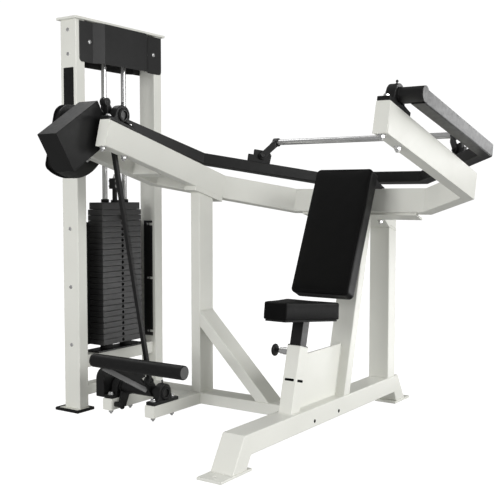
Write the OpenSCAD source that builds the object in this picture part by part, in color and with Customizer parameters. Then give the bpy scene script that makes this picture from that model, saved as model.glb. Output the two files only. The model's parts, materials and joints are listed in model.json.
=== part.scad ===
// Seated press machine: a leaning seat on a floor rail, a raised U frame that carries a hinged
// press yoke with an overhead bar, and a selector weight tower at the user's right.
// Millimetres, +Z up, the user faces -Y. The origin is on the floor under the front foot.

/* [Floor rail] */
// Width of the rail tube
rail_w = 101.6; // [90:0.1:106]
// Depth of the rail tube
rail_h = 80; // [60:0.1:100]
// Height of the rail's top face
rail_top = 138.2; // [125:0.1:170]
// Length of the level top of the rail
rail_len = 1317.6; // [1300:0.1:1400]
// Front end of the level top
rail_y = 56.5; // [45:0.1:65]
// Run of each sloping leg
leg_run = 77.6; // [60:0.1:90]
// Level thickness of each leg
leg_t = 90; // [75:0.1:105]
// Thickness of the foot plates
foot_t = 10; // [6:0.1:14]
// Width of the rail's foot plates
foot_w = 108; // [104:0.1:160]
// Length of the front foot plate
front_foot_len = 195; // [180:0.1:230]
// Length of the rear foot plate
rear_foot_len = 170; // [160:0.1:220]
// Radius of the anchor holes
anchor_r = 7; // [4:0.1:9]
// Distance of an anchor hole from the plate's outer edge
anchor_edge = 36; // [20:0.1:40]
// Radius of the bolt holes in the rail's side
side_hole_r = 5; // [3:0.1:7]
// Distance of the first side hole from the front foot
side_hole_y = 562; // [500:0.1:600]
// Distance between the side holes
side_hole_pitch = 207; // [150:0.1:250]
// Depth of the side holes below the rail's top
side_hole_drop = 54.7; // [30:0.1:65]

/* [Tubes] */
// Wall of every frame tube
wall = 3; // [2:0.1:5]
// Narrow side of the frame tubes
tube_n = 50.8; // [45:0.1:54]
// Wide side of the frame tubes
tube_w = 101.6; // [90:0.1:106]
// Lean of the seat tube, the back upright and the U frame
lean = 14.84; // [14:0.01:15.5]
// Thickness of the flange plates between the frame's tubes
flange_t = 10; // [8:0.1:12]
// Gap between pieces that move past each other
play = 0.3; // [0.2:0.05:0.6]

/* [Seat and back] */
// Side of the square seat receiver
receiver_w = 63.5; // [60:0.1:70]
// Length of the seat receiver along its lean
receiver_len = 268; // [240:0.1:290]
// Front of the receiver on the rail
receiver_y = 410; // [400:0.1:425]
// Side of the square seat post
post_w = 50.8; // [46:0.1:52]
// Depth of the post inside the receiver
post_in = 205; // [190:0.1:215]
// Seat length
seat_len = 296; // [270:0.1:310]
// Seat half width at the front
seat_front = 52; // [45:0.1:70]
// Seat half width at the rear
seat_rear = 131; // [110:0.1:140]
// Seat cushion thickness
seat_t = 57; // [45:0.1:65]
// Downward tilt of the seat towards its rear
seat_tilt = 4.6; // [0:0.1:8]
// Front edge of the seat
seat_y = 331; // [322:0.1:338]
// Height of the seat board's underside at the front
seat_z = 531; // [515:0.1:545]
// Thickness of the seat board
board_t = 8; // [5:0.1:10]
// Back pad width
pad_w = 268; // [240:0.1:300]
// Back pad length
pad_len = 559; // [520:0.1:580]
// Back pad thickness
pad_t = 60; // [50:0.1:66]
// Lean of the back pad
pad_lean = 23.5; // [22.5:0.1:24.5]
// Distance of the pad's lower front edge from the front foot
pad_y = 674.5; // [665:0.1:682]
// Height of the pad's lower front edge
pad_z = 604; // [596:0.1:620]
// Front of the back upright on the rail
back_y = 816.5; // [806:0.1:830]
// Front of the rear upright on the rail
rear_y = 1260; // [1245:0.1:1275]
// Depth of the rear upright
rear_d = 76.2; // [65:0.1:85]
// Radius of the pop pin
pop_r = 6; // [4:0.1:8]
// Distance between the height holes in the seat post
hole_pitch = 25; // [20:0.1:26]
// Thickness of the gusset plate
gusset_t = 10; // [6:0.1:14]
// Height of the gusset plate at the receiver
gusset_h = 234; // [200:0.1:250]
// Rise of the gusset plate's top towards the back upright
gusset_rise = 28; // [10:0.1:40]

/* [Upper frame] */
// Outer face of the U frame's arms, from the seat's centre plane
arm_x = 625.1; // [615:0.1:632]
// Depth of the U frame's tube
arm_h = 108; // [98:0.1:114]
// Front end of the arms
arm_y = 32.3; // [24:0.1:40]
// Height of the top front edge of the arms
arm_z = 1307.1; // [1295:0.1:1320]
// Length of an arm to its inner bend
arm_len = 803.5; // [790:0.1:820]
// Distance of the cross piece's front face from the arm ends
cross_u = 1039.3; // [1030:0.1:1050]
// Half length of the cross piece's front face
cross_half = 323.7; // [310:0.1:335]
// Clear gap between the right arm and the outer beam
beam_gap = 152.9; // [148:0.1:165]
// Length of the outer beam to its outer bend
beam_len = 586; // [570:0.1:600]
// Start of the tie tube between the arm and the outer beam
tie_u = 393; // [385:0.1:430]

/* [Pivot bearings] */
// Distance of the pivot behind the arm ends
pivot_u = 77; // [72:0.1:84]
// Height of a bearing's axis over its base
axis_h = 43; // [41:0.1:48]
// Radius of the pivot and pedal shafts
shaft_r = 17.5; // [15:0.1:18.5]
// Radial running clearance
run_fit = 0.05; // [0.02:0.01:0.1]
// Length of a pillow block's base
block_len = 165; // [158:0.1:172]
// Width of a pillow block's base
block_w = 46; // [42:0.1:47]
// Distance between a pillow block's bolts
block_bolt = 126; // [122:0.1:130]
// Thickness of a pillow block's base
block_t = 15; // [12:0.1:18]
// Radius of the bearing bolts
bolt_r = 6; // [5:0.1:7]

/* [Press yoke] */
// Slope of the yoke at rest
yoke_tilt = 12.6; // [12.2:0.01:13]
// Clear gap between the U frame's arms and the yoke's arms
yoke_gap = 30.1; // [28:0.1:33]
// Side of the yoke's square tube
yoke_w = 50.8; // [47:0.1:52]
// Depth of the yoke's centre line below the pivot axis
yoke_drop = 5.4; // [3:0.1:7]
// Length of a yoke arm to its inner bend
yoke_len = 647; // [635:0.1:660]
// Distance of the yoke's cross piece behind the pivot
yoke_cross = 1051; // [1040:0.1:1065]
// Half length of the yoke's cross piece
yoke_half = 251; // [240:0.1:262]
// Radius of the yoke's hubs
hub_r = 27; // [25.5:0.1:28]
// Distance of the bar behind the pivot
bar_u = 923; // [915:0.1:930]
// Height of the bar over the yoke's plane
bar_n = 138.7; // [132:0.1:145]
// Radius of the bar
bar_r = 13.5; // [11:0.1:15]
// Half length of the bar
bar_half = 433; // [427:0.1:438]
// Counterweight width
weight_w = 104; // [90:0.1:106]
// Counterweight length
weight_len = 268; // [240:0.1:276]
// Counterweight depth
weight_h = 170; // [150:0.1:180]
// Slope of the counterweight at rest
weight_tilt = 32.5; // [30:0.1:35]
// Outer radius of the cam
cam_r = 204; // [196:0.1:212]
// Depth of the centre of the cam's arc below the pivot
cam_drop = 45; // [40:0.1:50]
// Thickness of the cam
cam_t = 40; // [30:0.1:46]

/* [Pedal and link] */
// Front of the floor cross tube
base_y = 606; // [596:0.1:615]
// Height of the floor cross tube's top
base_top = 113; // [108:0.1:116]
// Front end of the bearing stubs
stub_y = 285; // [275:0.1:290]
// Distance of the far stub's centre from the seat's centre plane
far_stub = 843; // [835:0.1:855]
// Pedal shaft's distance from the front foot
pedal_y = 370; // [366:0.1:376]
// Reach of the pedal roller in front of its shaft
roller_y = 159; // [152:0.1:166]
// Rise of the pedal roller over its shaft
roller_z = 140; // [134:0.1:146]
// Radius of the pedal roller
roller_r = 30; // [26:0.1:33]
// Length of the pedal roller
roller_len = 502; // [490:0.1:520]
// Distance of the roller's right end from the seat's centre plane
roller_x = 350; // [340:0.1:360]
// Reach of both cranks in front of their shafts
crank_y = 40; // [37:0.1:43]
// Rise of both cranks over their shafts
crank_z = 52; // [49:0.1:56]
// Side of the square link rod
rod_w = 18; // [14:0.1:19]
// Radius of the crank pins
crank_pin_r = 8; // [6:0.1:9]
// Radial clearance of the link rod's lower eye
open_fit = 1; // [0.5:0.1:1.5]

/* [Weight tower] */
// Distance of the tower posts from the seat's centre plane
tower_x = 1104.4; // [1095:0.1:1115]
// Width of a tower post across the machine
post_x = 98.7; // [94:0.1:104]
// Depth of a tower post along the machine
post_y = 57.4; // [52:0.1:60]
// Front face of the front post
tower_y = 375.6; // [368:0.1:382]
// Distance between the front faces of the two posts
tower_pitch = 546.4; // [538:0.1:560]
// Height of the posts
tower_h = 1813.8; // [1790:0.1:1850]
// Thickness of the top cap
cap_t = 12; // [8:0.1:18]
// How far the cap overhangs the posts
cap_lip = 14; // [8:0.1:18]
// Number of weight plates under the head plate
plates = 24; // [22:1:25]
// Plates that the pin lifts
lifted = 2; // [1:1:4]
// Distance from plate to plate
plate_pitch = 27.3; // [26:0.1:28]
// Gap between two plates
plate_gap = 0.6; // [0.4:0.1:0.9]
// Length of a weight plate
plate_len = 278; // [265:0.1:290]
// Gap between the weight plates and the guard behind them
guard_gap = 0.85; // [0.5:0.05:4]
// Height of the lowest plate's underside
stack_z = 286; // [280:0.1:296]
// Thickness of the head plate
head_t = 34; // [28:0.1:40]
// Radius of the guide rods
guide_r = 12.5; // [10:0.1:13.5]
// Distance between the guide rods
guide_pitch = 138; // [132:0.1:150]
// Radius of the selector stem
stem_r = 12; // [10:0.1:13]
// Radius of the selector pin
pin_r = 5; // [4:0.1:6]
// Height of the head panels
panel_h = 186; // [175:0.1:196]
// How far the head panels stand out of the posts
panel_out = 30; // [20:0.1:36]
// Sheet thickness of the panels
sheet = 3; // [2:0.1:4]
// Radius of the head pulley
pulley_r = 50; // [44:0.1:52]

/* [Hidden] */
$fn = 48;
white = [0.87, 0.87, 0.84];
black = [0.1, 0.1, 0.1];
grey = [0.34, 0.34, 0.34];
chrome = [0.8, 0.8, 0.82];
far = 3000;
cap_sheet = 3;
rail_end = rail_y + rail_len;
toe_front = rail_y - leg_run;
toe_rear = rail_end + leg_run;
slope = leg_run / (rail_top - foot_t);
front_foot_y = -front_foot_len / 2;
foot_in = 25;
rear_foot_y = toe_rear - leg_t - foot_in;
pivot_y = arm_y + pivot_u * cos(lean) + axis_h * sin(lean);
pivot_z = arm_z - pivot_u * sin(lean) + axis_h * cos(lean);
miter = tan(22.5);
arm_mid = arm_x - tube_n / 2;
beam_in = arm_x + beam_gap;
beam_mid = beam_in + tube_n / 2;
beam_out = beam_in + tube_n;
plate_n = -arm_h - flange_t;
flange_len = 209;
flange_lip = 7;
flange_shift = 15;
upright_u = (base_y + tube_w / 2 - arm_y - plate_n * sin(lean)) / cos(lean);
flange_u = upright_u + flange_shift - flange_len / 2;
rear_plate_u = cross_u + 12;
rear_plate_len = 98.7;
neck_flange = 95;
neck_u = (rear_y + rear_d - arm_y) / cos(lean) - arm_h * tan(lean) + 12;
neck_h = 45;
yoke_in = arm_x + yoke_gap;
yoke_x = yoke_in + yoke_w;
yoke_mid = yoke_x - yoke_w / 2;
yoke_top = yoke_w / 2 - yoke_drop;
weight_x = yoke_in;
side_gap = 0.5;
rod_in = arm_x + 2.3;
rod_mid = rod_in + rod_w / 2;
crank_x = rod_in + rod_w + side_gap;
crank_t = yoke_in - side_gap - crank_x;
hub_gap = 1.5;
seat_gap = 0.05;
hub_wall = 6;
cam_gap = 32;
cam_x = beam_out + cam_gap;
cam_lip = 5;
shaft_in = 6;
pedal_z = base_top + axis_h;
roller_reach = norm([roller_y, roller_z]);
roller_angle = atan2(roller_z, roller_y);
stop_r = 12;
stop_len = 35;
stop_front = 62;
stop_drop = 68;
tower_mid = -tower_x - post_x / 2;
tower_cy = tower_y + (tower_pitch + post_y) / 2;
inner_front = tower_y + post_y;
inner_rear = tower_y + tower_pitch;
inner_len = inner_rear - inner_front;
plate_w = post_x - 2 * guard_gap;
plate_t = plate_pitch - plate_gap;
stack_top = stack_z + plates * plate_pitch;
lift_z = stack_z + (plates - lifted) * plate_pitch;
pin_z = lift_z + plate_t / 2;
guide_hole = guide_r + run_fit;
tie_w = 60;
strip_t = 8;
strip_w = 90;
strip_lip = 30;
bumper_r = 30;
bumper_h = 24;
strip_z = stack_z - bumper_h - strip_t;
beam_z = tower_h - tie_w;
axle_r = 10;
pulley_w = 24;
ear_t = 6;
ear_half = 22;
pulley_z = beam_z - pulley_r - 15;
clamp_h = 52;
stem_rise = 118;
stem_top = stack_top + head_t + stem_rise;
guard_z = stack_z - 2;
guard_drop = 61.2;
guard_h = stack_top - guard_drop - guard_z;
guard_flange = 56;
tower_foot_lip = 37;
tower_foot_side = 22;
tower_foot_in = 10;
panel_y = tower_y + 22;
panel_end = tower_y + tower_pitch + post_y - 4;
panel_z = tower_h - panel_h - 4;
panel_flat = 86;
panel_rear_flat = 100;
panel_ramp = 48;
panel_corner = 18;
bolt_head_r = 11;
guard_bolt_edge = 26;
post_bolt_low = 156;
post_bolt_high = 45;
panel_bolt_r = 10;
panel_bolt_drop = 95;
panel_bolt_front = 85;
panel_bolt_rear = 66;
pop_z = receiver_len - 26;
barrel_len = 36;
pop_throw = 12;
knob_r = 21;

// A box open along one axis: 0 is X, 1 is Y and 2 is Z
module tube(size, axis) {
  difference() {
    cube(size);
    translate([for (i = [0:2]) i == axis ? -1 : wall])
      cube([for (i = [0:2]) i == axis ? size[i] + 2 : size[i] - 2 * wall]);
  }
}

// A cylinder along X from x0 to x1
module bar_along_x(r, x0, x1) {
  translate([min(x0, x1), 0, 0]) rotate([0, 90, 0]) cylinder(r = r, h = abs(x1 - x0));
}

// A plate with its outline in the plane of Y and Z, from x0 to x1
module side_plate(points, x0, x1) {
  translate([min(x0, x1), 0, 0]) rotate([90, 0, 90]) linear_extrude(abs(x1 - x0)) polygon(points);
}

// Places of the leaning and turning groups
module in_frame() { translate([0, arm_y, arm_z]) rotate([-lean, 0, 0]) children(); }
module in_yoke() { translate([0, pivot_y, pivot_z]) rotate([-yoke_tilt, 0, 0]) children(); }
module in_bearings() { translate([0, pivot_y, pivot_z]) rotate([-lean, 0, 0]) children(); }
module in_pedal() { translate([0, pedal_y, pedal_z]) children(); }
module in_receiver() {
  translate([0, receiver_y + receiver_w / 2, rail_top]) rotate([-lean, 0, 0]) children();
}
module in_seat() { translate([0, seat_y, seat_z]) rotate([-seat_tilt, 0, 0]) children(); }
module in_pad() { translate([0, pad_y, pad_z]) rotate([-pad_lean, 0, 0]) children(); }

// Everything below a level of the U frame, and below the seat board
module under_frame(level) {
  in_frame() translate([-far, -far, level - far]) cube([2 * far, 2 * far, far]);
}
module under_seat() { in_seat() translate([-far, -far, -far]) cube([2 * far, 2 * far, far]); }

// Outline of a tube bent twice by 45 degrees on each side, a given distance off its centre line
function bent(x, u0, ub, uc, xc, d) = [
  [-x - d, u0], [-x - d, ub + d * miter], [-xc - d * miter, uc + d],
  [xc + d * miter, uc + d], [x + d, ub + d * miter], [x + d, u0],
  [x - d, u0], [x - d, ub - d * miter], [xc - d * miter, uc - d],
  [-xc + d * miter, uc - d], [-x + d, ub - d * miter], [-x + d, u0]];
module bent_tube(x, inner_bend, inner_cross, inner_half, w, h) {
  ub = inner_bend + w / 2 * miter;
  uc = inner_cross + w / 2;
  xc = inner_half + w / 2 * miter;
  difference() {
    linear_extrude(h) polygon(bent(x, 0, ub, uc, xc, w / 2));
    translate([0, 0, wall]) linear_extrude(h - 2 * wall)
      polygon(bent(x, -1, ub, uc, xc, w / 2 - wall));
  }
}

// Rounded outline of a cushion: corners in order, each replaced by an arc
arc_n = 7;
function corner_arc(p, a, b, r) =
  let (da = (a - p) / norm(a - p), db = (b - p) / norm(b - p), bi = (da + db) / norm(da + db),
       half = acos(da * db) / 2, c = p + bi * r / sin(half),
       n0 = p + da * r / tan(half) - c, n1 = p + db * r / tan(half) - c)
  [for (i = [0:arc_n]) let (v = n0 * (1 - i / arc_n) + n1 * i / arc_n) c + r * v / norm(v)];
function rounded(corners, r) = let (n = len(corners)) [for (k = [0:n - 1])
  each corner_arc(corners[k], corners[(k + n - 1) % n], corners[(k + 1) % n], r)];

// Rings of a cushion as [share of the outline, share of the height]: drawn-in sides, crowned top
rings = [[0.93, 0], [0.975, 0.03], [0.985, 0.2], [1, 0.5], [0.995, 0.7], [0.975, 0.83],
  [0.93, 0.91], [0.75, 0.965], [0.48, 0.99], [0.2, 1]];
module cushion(corners, r, t) {
  line = rounded(corners, r);
  n = len(line);
  mid = [for (i = [0:1]) [for (p = line) p[i]] * [for (p = line) 1 / n]];
  pts = [for (ring = rings, p = line) let (q = mid + (p - mid) * ring[0]) [q[0], q[1], t * ring[1]]];
  top = len(rings) - 1;
  sides = [for (k = [0:top - 1], i = [0:n - 1])
    let (a = k * n + i, b = k * n + (i + 1) % n) each [[a, a + n, b], [b, a + n, b + n]]];
  under = [for (i = [1:n - 2]) [0, i, i + 1]];
  over = [for (i = [1:n - 2]) [top * n, top * n + i + 1, top * n + i]];
  polyhedron(pts, concat(under, sides, over));
}

// A pillow block with its bore along X through the origin and its base below, along Y
module pillow_block(x) {
  body_r = axis_h - 3;
  body_w = block_w - 12;
  translate([x, 0, 0]) difference() {
    union() {
      translate([-block_w / 2, -block_len / 2, seat_gap - axis_h])
        cube([block_w, block_len, block_t - seat_gap]);
      side_plate([[-body_r - 8, block_t - axis_h], [-body_r, -axis_h / 4], [-body_r, 0], [body_r, 0],
        [body_r, -axis_h / 4], [body_r + 8, block_t - axis_h]], -body_w / 2, body_w / 2);
      bar_along_x(body_r, -body_w / 2, body_w / 2);
      bar_along_x(shaft_r + 11, -block_w / 2, block_w / 2);
    }
    bar_along_x(shaft_r + run_fit, -block_w, block_w);
    for (s = [-1, 1]) translate([0, s * block_bolt / 2, -axis_h - 1]) bolt_hole(block_t + 2);
  }
}
module bolt_hole(depth) { cylinder(r = bolt_r + 0.5, h = depth); }
module nipple(x) {
  translate([x, 0, axis_h - 3]) {
    cylinder(r = 4, h = 9);
    translate([0, 0, 11]) sphere(r = 5);
  }
}
// The bolts and nuts of one pillow block, through a tube of the given depth
module block_bolts(x, grip) {
  for (s = [-1, 1]) translate([x, s * block_bolt / 2, -axis_h]) {
    translate([0, 0, -grip - 18]) cylinder(r = bolt_r, h = grip + block_t + 18);
    translate([0, 0, block_t]) cylinder(r = bolt_head_r, h = 9, $fn = 6);
    translate([0, 0, -grip - 13]) cylinder(r = bolt_head_r, h = 13, $fn = 6);
    translate([0, 0, -grip - 15]) cylinder(r = 8, h = 3);
  }
}
// Holes for those bolts in the tube below
module block_holes(x, grip) {
  for (s = [-1, 1]) translate([x, s * block_bolt / 2, -axis_h - grip - 1]) bolt_hole(grip + 2);
}

// Side outline of the rail, a given distance inside its skin
function rail_line(d) = let (e = d * sqrt(1 + slope * slope), low = foot_t - (d > 0 ? 1 : 0),
  top = rail_top - d, under = rail_top - rail_h + d,
  front = function (z) toe_front + e + slope * (z - foot_t),
  rear = function (z) toe_rear - e - slope * (z - foot_t), t = leg_t - 2 * e)
  [[front(low), low], [front(top), top], [rear(top), top], [rear(low), low],
   [rear(low) - t, low], [rear(under) - t, under], [front(under) + t, under], [front(low) + t, low]];
module base_rail() {
  color(white) difference() {
    side_plate(rail_line(0), -rail_w / 2, rail_w / 2);
    side_plate(rail_line(wall), wall - rail_w / 2, rail_w / 2 - wall);
    for (y = [side_hole_y, side_hole_y + side_hole_pitch]) translate([0, y, rail_top - side_hole_drop])
      bar_along_x(side_hole_r, 0, rail_w);
  }
}
module foot(y0, len, hole_y) {
  difference() {
    translate([-foot_w / 2, y0, 0]) cube([foot_w, len, foot_t]);
    translate([0, hole_y, -1]) cylinder(r = anchor_r, h = foot_t + 2);
  }
}
module rail_feet() {
  color(white) {
    foot(front_foot_y, front_foot_len, front_foot_y + anchor_edge);
    foot(rear_foot_y, rear_foot_len, rear_foot_y + rear_foot_len - anchor_edge);
  }
}

// Uprights on the rail
module rear_upright() {
  color(white) intersection() {
    translate([-rail_w / 2, rear_y, rail_top]) tube([rail_w, rear_d, arm_z], 2);
    under_frame(plate_n);
  }
}
module neck_tube() {
  start = cross_u + tube_n;
  color(white) in_frame() translate([-rail_w / 2, start, -arm_h])
    tube([rail_w, neck_u - start, neck_h], 1);
}
module back_upright() {
  color(white) intersection() {
    translate([-tube_w / 2, back_y, rail_top]) rotate([-lean, 0, 0])
      translate([0, 0, -tube_n]) tube([tube_w, tube_n, arm_z], 2);
    translate([-tube_w, 0, rail_top]) cube([2 * tube_w, far, far]);
    under_frame(plate_n);
  }
}
module seat_receiver() {
  inside = post_w + 2 * play;
  color(white) difference() {
    intersection() {
      in_receiver() translate([-receiver_w / 2, -receiver_w / 2, -receiver_w])
        cube([receiver_w, receiver_w, receiver_len + receiver_w]);
      translate([-receiver_w, 0, rail_top]) cube([2 * receiver_w, far, far]);
    }
    in_receiver() translate([-inside / 2, -inside / 2, -2 * receiver_w])
      cube([inside, inside, receiver_len + 3 * receiver_w]);
    in_receiver() translate([0, 0, pop_z]) bar_along_x(pop_r + run_fit, -receiver_w, 0);
  }
}
module gusset_plate() {
  front = receiver_y + receiver_w / 2 + receiver_w / 2 / cos(lean) + play;
  rear = back_y - play;
  rear_h = gusset_h + gusset_rise;
  color(white) side_plate([[front, rail_top], [front + gusset_h * tan(lean), rail_top + gusset_h],
    [rear + rear_h * tan(lean), rail_top + rear_h], [rear, rail_top]], -gusset_t / 2, gusset_t / 2);
}

// Floor tubes beside the rail
module cross_base() {
  reach = -tower_mid - tie_w / 2;
  color(white) translate([-reach, base_y, base_top - tube_n]) tube([reach - rail_w / 2, tube_w, tube_n], 0);
}
module pedal_stubs() {
  color(white) difference() {
    for (x = [arm_mid, far_stub]) translate([-x - tube_n / 2, stub_y, base_top - tube_n])
      tube([tube_n, base_y - stub_y, tube_n], 1);
    in_pedal() for (x = [arm_mid, far_stub]) block_holes(-x, tube_n);
  }
}
module centre_upright() {
  color(white) intersection() {
    translate([-arm_x, base_y, base_top]) tube([tube_n, tube_w, arm_z], 2);
    under_frame(plate_n - flange_t);
  }
}
brace_reach = 374;
module upright_brace() {
  color(white) intersection() {
    translate([tube_n - arm_x, base_y, base_top + brace_reach]) rotate([0, 45, 0])
      translate([-far / 2, 0, -tube_n]) tube([far, tube_w, tube_n], 0);
    translate([tube_n - arm_x, 0, base_top]) cube([far, far, far]);
  }
}

// Upper frame
module upper_frame() {
  color(white) difference() {
    in_frame() translate([0, 0, -arm_h])
      bent_tube(arm_mid, arm_len, cross_u, cross_half, tube_n, arm_h);
    in_bearings() for (x = [-arm_mid, arm_mid]) block_holes(x, arm_h);
  }
}
// Outline of the outer beam, a given distance inside its skin, open against the right arm
function beam_line(d) = let (o = beam_out - d, i = beam_in + d, ub = beam_len - d * miter,
  ui = beam_len - tube_n * miter + d * miter, u0 = d > 0 ? -1 : 0, stop = arm_x - (d > 0 ? 1 : 0))
  [[-o, u0], [-i, u0], [-i, ui], [-stop, ui + i - stop], [-stop, ub + o - stop], [-o, ub]];
module outer_beam() {
  color(white) difference() {
    in_frame() difference() {
      translate([0, 0, -arm_h]) linear_extrude(arm_h) polygon(beam_line(0));
      translate([0, 0, wall - arm_h]) linear_extrude(arm_h - 2 * wall) polygon(beam_line(wall));
    }
    in_bearings() block_holes(-beam_mid, arm_h);
  }
}
module beam_tie() {
  color(white) in_frame() translate([-beam_in, tie_u, -arm_h]) tube([beam_gap, tube_n, arm_h], 0);
}
module frame_flanges() {
  diagonal = cross_half + tube_n * miter + cross_u + tube_n - flange_lip;
  plate_end = rear_plate_u + rear_plate_len;
  neck_start = (rear_y - arm_y - plate_n * sin(lean)) / cos(lean);
  side = [[diagonal - rear_plate_u, rear_plate_u], [diagonal - plate_end, plate_end],
    [neck_flange, plate_end], [rail_w / 2, neck_start], [rail_w / 2, neck_u]];
  color(white) in_frame() {
    for (k = [1, 2]) translate([-arm_x - flange_lip, flange_u, -arm_h - k * flange_t])
      cube([tube_n + 2 * flange_lip, flange_len, flange_t]);
    translate([0, 0, plate_n]) linear_extrude(flange_t)
      polygon(concat(side, [for (k = [len(side) - 1:-1:0]) [-side[k][0], side[k][1]]]));
  }
}
module tube_end_caps() {
  color(white) {
    in_frame() for (x = [-beam_mid, -arm_mid, arm_mid])
      translate([x - tube_n / 2, -cap_sheet, -arm_h]) cube([tube_n, cap_sheet, arm_h]);
    for (x = [arm_mid, far_stub]) translate([-x - tube_n / 2, stub_y - cap_sheet, base_top - tube_n])
      cube([tube_n, cap_sheet, tube_n]);
  }
}

// Weight tower
module tower_posts() {
  color(white) for (y = [tower_y, tower_y + tower_pitch])
    translate([-tower_x - post_x, y, foot_t]) tube([post_x, post_y, tower_h - foot_t], 2);
}
module tower_cap() {
  color(white) translate([-tower_x - post_x - cap_lip, tower_y - cap_lip, tower_h])
    cube([post_x + 2 * cap_lip, tower_pitch + post_y + 2 * cap_lip, cap_t]);
}
module tower_feet() {
  lip = tower_foot_lip;
  len = post_y + lip + tower_foot_in;
  side = tower_foot_side;
  color(white) for (y = [tower_y - lip, inner_rear - tower_foot_in]) difference() {
    translate([tower_mid - post_x / 2 - side, y, 0]) cube([post_x + 2 * side, len, foot_t]);
    for (s = [-1, 1]) translate([tower_mid + s * (post_x + side) / 2, y + len / 2, -1])
      cylinder(r = anchor_r, h = foot_t + 2);
  }
}
module tower_cross_tubes() {
  color(white) {
    translate([tower_mid - tie_w / 2, inner_front, strip_z - tie_w]) tube([tie_w, inner_len, tie_w], 1);
    translate([tower_mid - tie_w / 2, inner_front, base_top - tube_n]) tube([tie_w, inner_len, tube_n], 1);
  }
}
module stack_strip() {
  color(black) translate([tower_mid - strip_w / 2, tower_cy - plate_len / 2 - strip_lip, strip_z])
    cube([strip_w, plate_len + 2 * strip_lip, strip_t]);
}
module stack_bumpers() {
  color(black) for (s = [-1, 1]) translate([tower_mid, tower_cy + s * guide_pitch / 2, strip_z + strip_t])
    difference() {
      cylinder(r = bumper_r, h = bumper_h - play);
      translate([0, 0, -1]) cylinder(r = guide_hole, h = bumper_h + 2);
    }
}
module head_beam() {
  ear_x = pulley_w / 2 + 3;
  axle = ear_x + ear_t + 1;
  color(white) difference() {
    union() {
      translate([tower_mid - tie_w / 2, inner_front, beam_z]) cube([tie_w, inner_len, tie_w]);
      for (x = [-ear_x - ear_t, ear_x])
        translate([tower_mid + x, tower_cy - ear_half, pulley_z - ear_half])
          cube([ear_t, 2 * ear_half, beam_z - pulley_z + ear_half]);
      translate([tower_mid, tower_cy, pulley_z]) bar_along_x(axle_r, -axle, axle);
    }
    translate([tower_mid - tie_w / 2 + wall, inner_front - 1, beam_z + wall])
      cube([tie_w - 2 * wall, inner_len + 2, tie_w - 2 * wall]);
  }
}
// Plan of one head panel: flat on the posts, standing out between them
function panel_plan(d) = let (out = panel_out + d, y1 = panel_y + panel_flat,
  y2 = panel_end - panel_rear_flat)
  [[d, panel_y], [d, y1], [out, y1 + panel_ramp], [out, y2 - panel_ramp], [d, y2], [d, panel_end]];
module head_panel() {
  plan = concat(panel_plan(0), [for (k = [5:-1:0]) panel_plan(sheet)[k]]);
  r = panel_corner;
  len = panel_end - panel_y;
  intersection() {
    translate([0, 0, panel_z]) linear_extrude(panel_h) polygon(plan);
    translate([-1, panel_y, panel_z]) rotate([90, 0, 90])
      linear_extrude(panel_out + sheet + 2) union() {
        translate([0, r]) square([len, panel_h]);
        translate([r, 0]) square([len - 2 * r, panel_h]);
        for (y = [r, len - r]) translate([y, r]) circle(r = r);
      }
  }
}
module head_panels() {
  color(black) {
    translate([-tower_x, 0, 0]) head_panel();
    translate([-tower_x - post_x, 0, 0]) mirror([1, 0, 0]) head_panel();
  }
}
module stack_guard() {
  color(black) {
    translate([-tower_x - post_x - sheet, tower_y + 15, guard_z])
      cube([sheet, tower_pitch + post_y - 30, guard_h]);
    for (y = [inner_front, inner_rear - sheet]) translate([tower_mid - 24, y, guard_z])
      cube([guard_flange, sheet, guard_h]);
  }
}
module guide_rods() {
  color(chrome) for (s = [-1, 1])
    translate([tower_mid, tower_cy + s * guide_pitch / 2, strip_z + strip_t])
      cylinder(r = guide_r, h = beam_z - strip_z - strip_t);
}
// One weight plate with its guide holes, stem hole and pin hole
module weight_plate(z, w, len, t, pin_hole) {
  translate([tower_mid, tower_cy, z]) difference() {
    translate([-w / 2, -len / 2, 0]) cube([w, len, t]);
    for (s = [-1, 1]) translate([0, s * guide_pitch / 2, -1]) cylinder(r = guide_hole, h = t + 2);
    translate([0, 0, -1]) cylinder(r = stem_r + play, h = t + 2);
    if (pin_hole) translate([0, 0, t / 2]) bar_along_x(pin_r + run_fit, 0, w);
  }
}
module plate_stack(first, last) {
  for (k = [first:last]) weight_plate(stack_z + k * plate_pitch, plate_w, plate_len, plate_t, true);
}
module lower_weight_plates() { color(grey) plate_stack(0, plates - lifted - 1); }
module upper_weight_plates() { color(grey) plate_stack(plates - lifted, plates - 1); }
module head_plate() {
  color(grey) weight_plate(stack_top, plate_w - 8, plate_len - 12, head_t, false);
}
module selector_stem() {
  color(black) translate([tower_mid, tower_cy, 0]) difference() {
    union() {
      translate([0, 0, stack_z + 2]) cylinder(r = stem_r, h = stem_top - stack_z - 2);
      translate([-19, -20, stem_top - clamp_h]) cube([38, 40, clamp_h]);
      translate([0, 0, stack_top + head_t]) cylinder(r = stem_r + 8, h = 12);
    }
    for (k = [0:plates - 1]) translate([0, 0, stack_z + k * plate_pitch + plate_t / 2])
      bar_along_x(pin_r + run_fit, -3 * stem_r, 3 * stem_r);
  }
}
module guide_collars() {
  color(black) for (s = [-1, 1]) translate([tower_mid, tower_cy + s * guide_pitch / 2, stack_top + head_t])
    difference() {
      cylinder(r = guide_r + 7, h = 16);
      translate([0, 0, -1]) cylinder(r = guide_hole, h = 18);
    }
}
module selector_pin() {
  out = tower_mid + plate_w / 2 + play;
  color(black) translate([0, tower_cy, pin_z]) {
    bar_along_x(pin_r, tower_mid - stem_r + pin_r / 2, out);
    bar_along_x(bolt_head_r, out, out + 24);
  }
}
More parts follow.
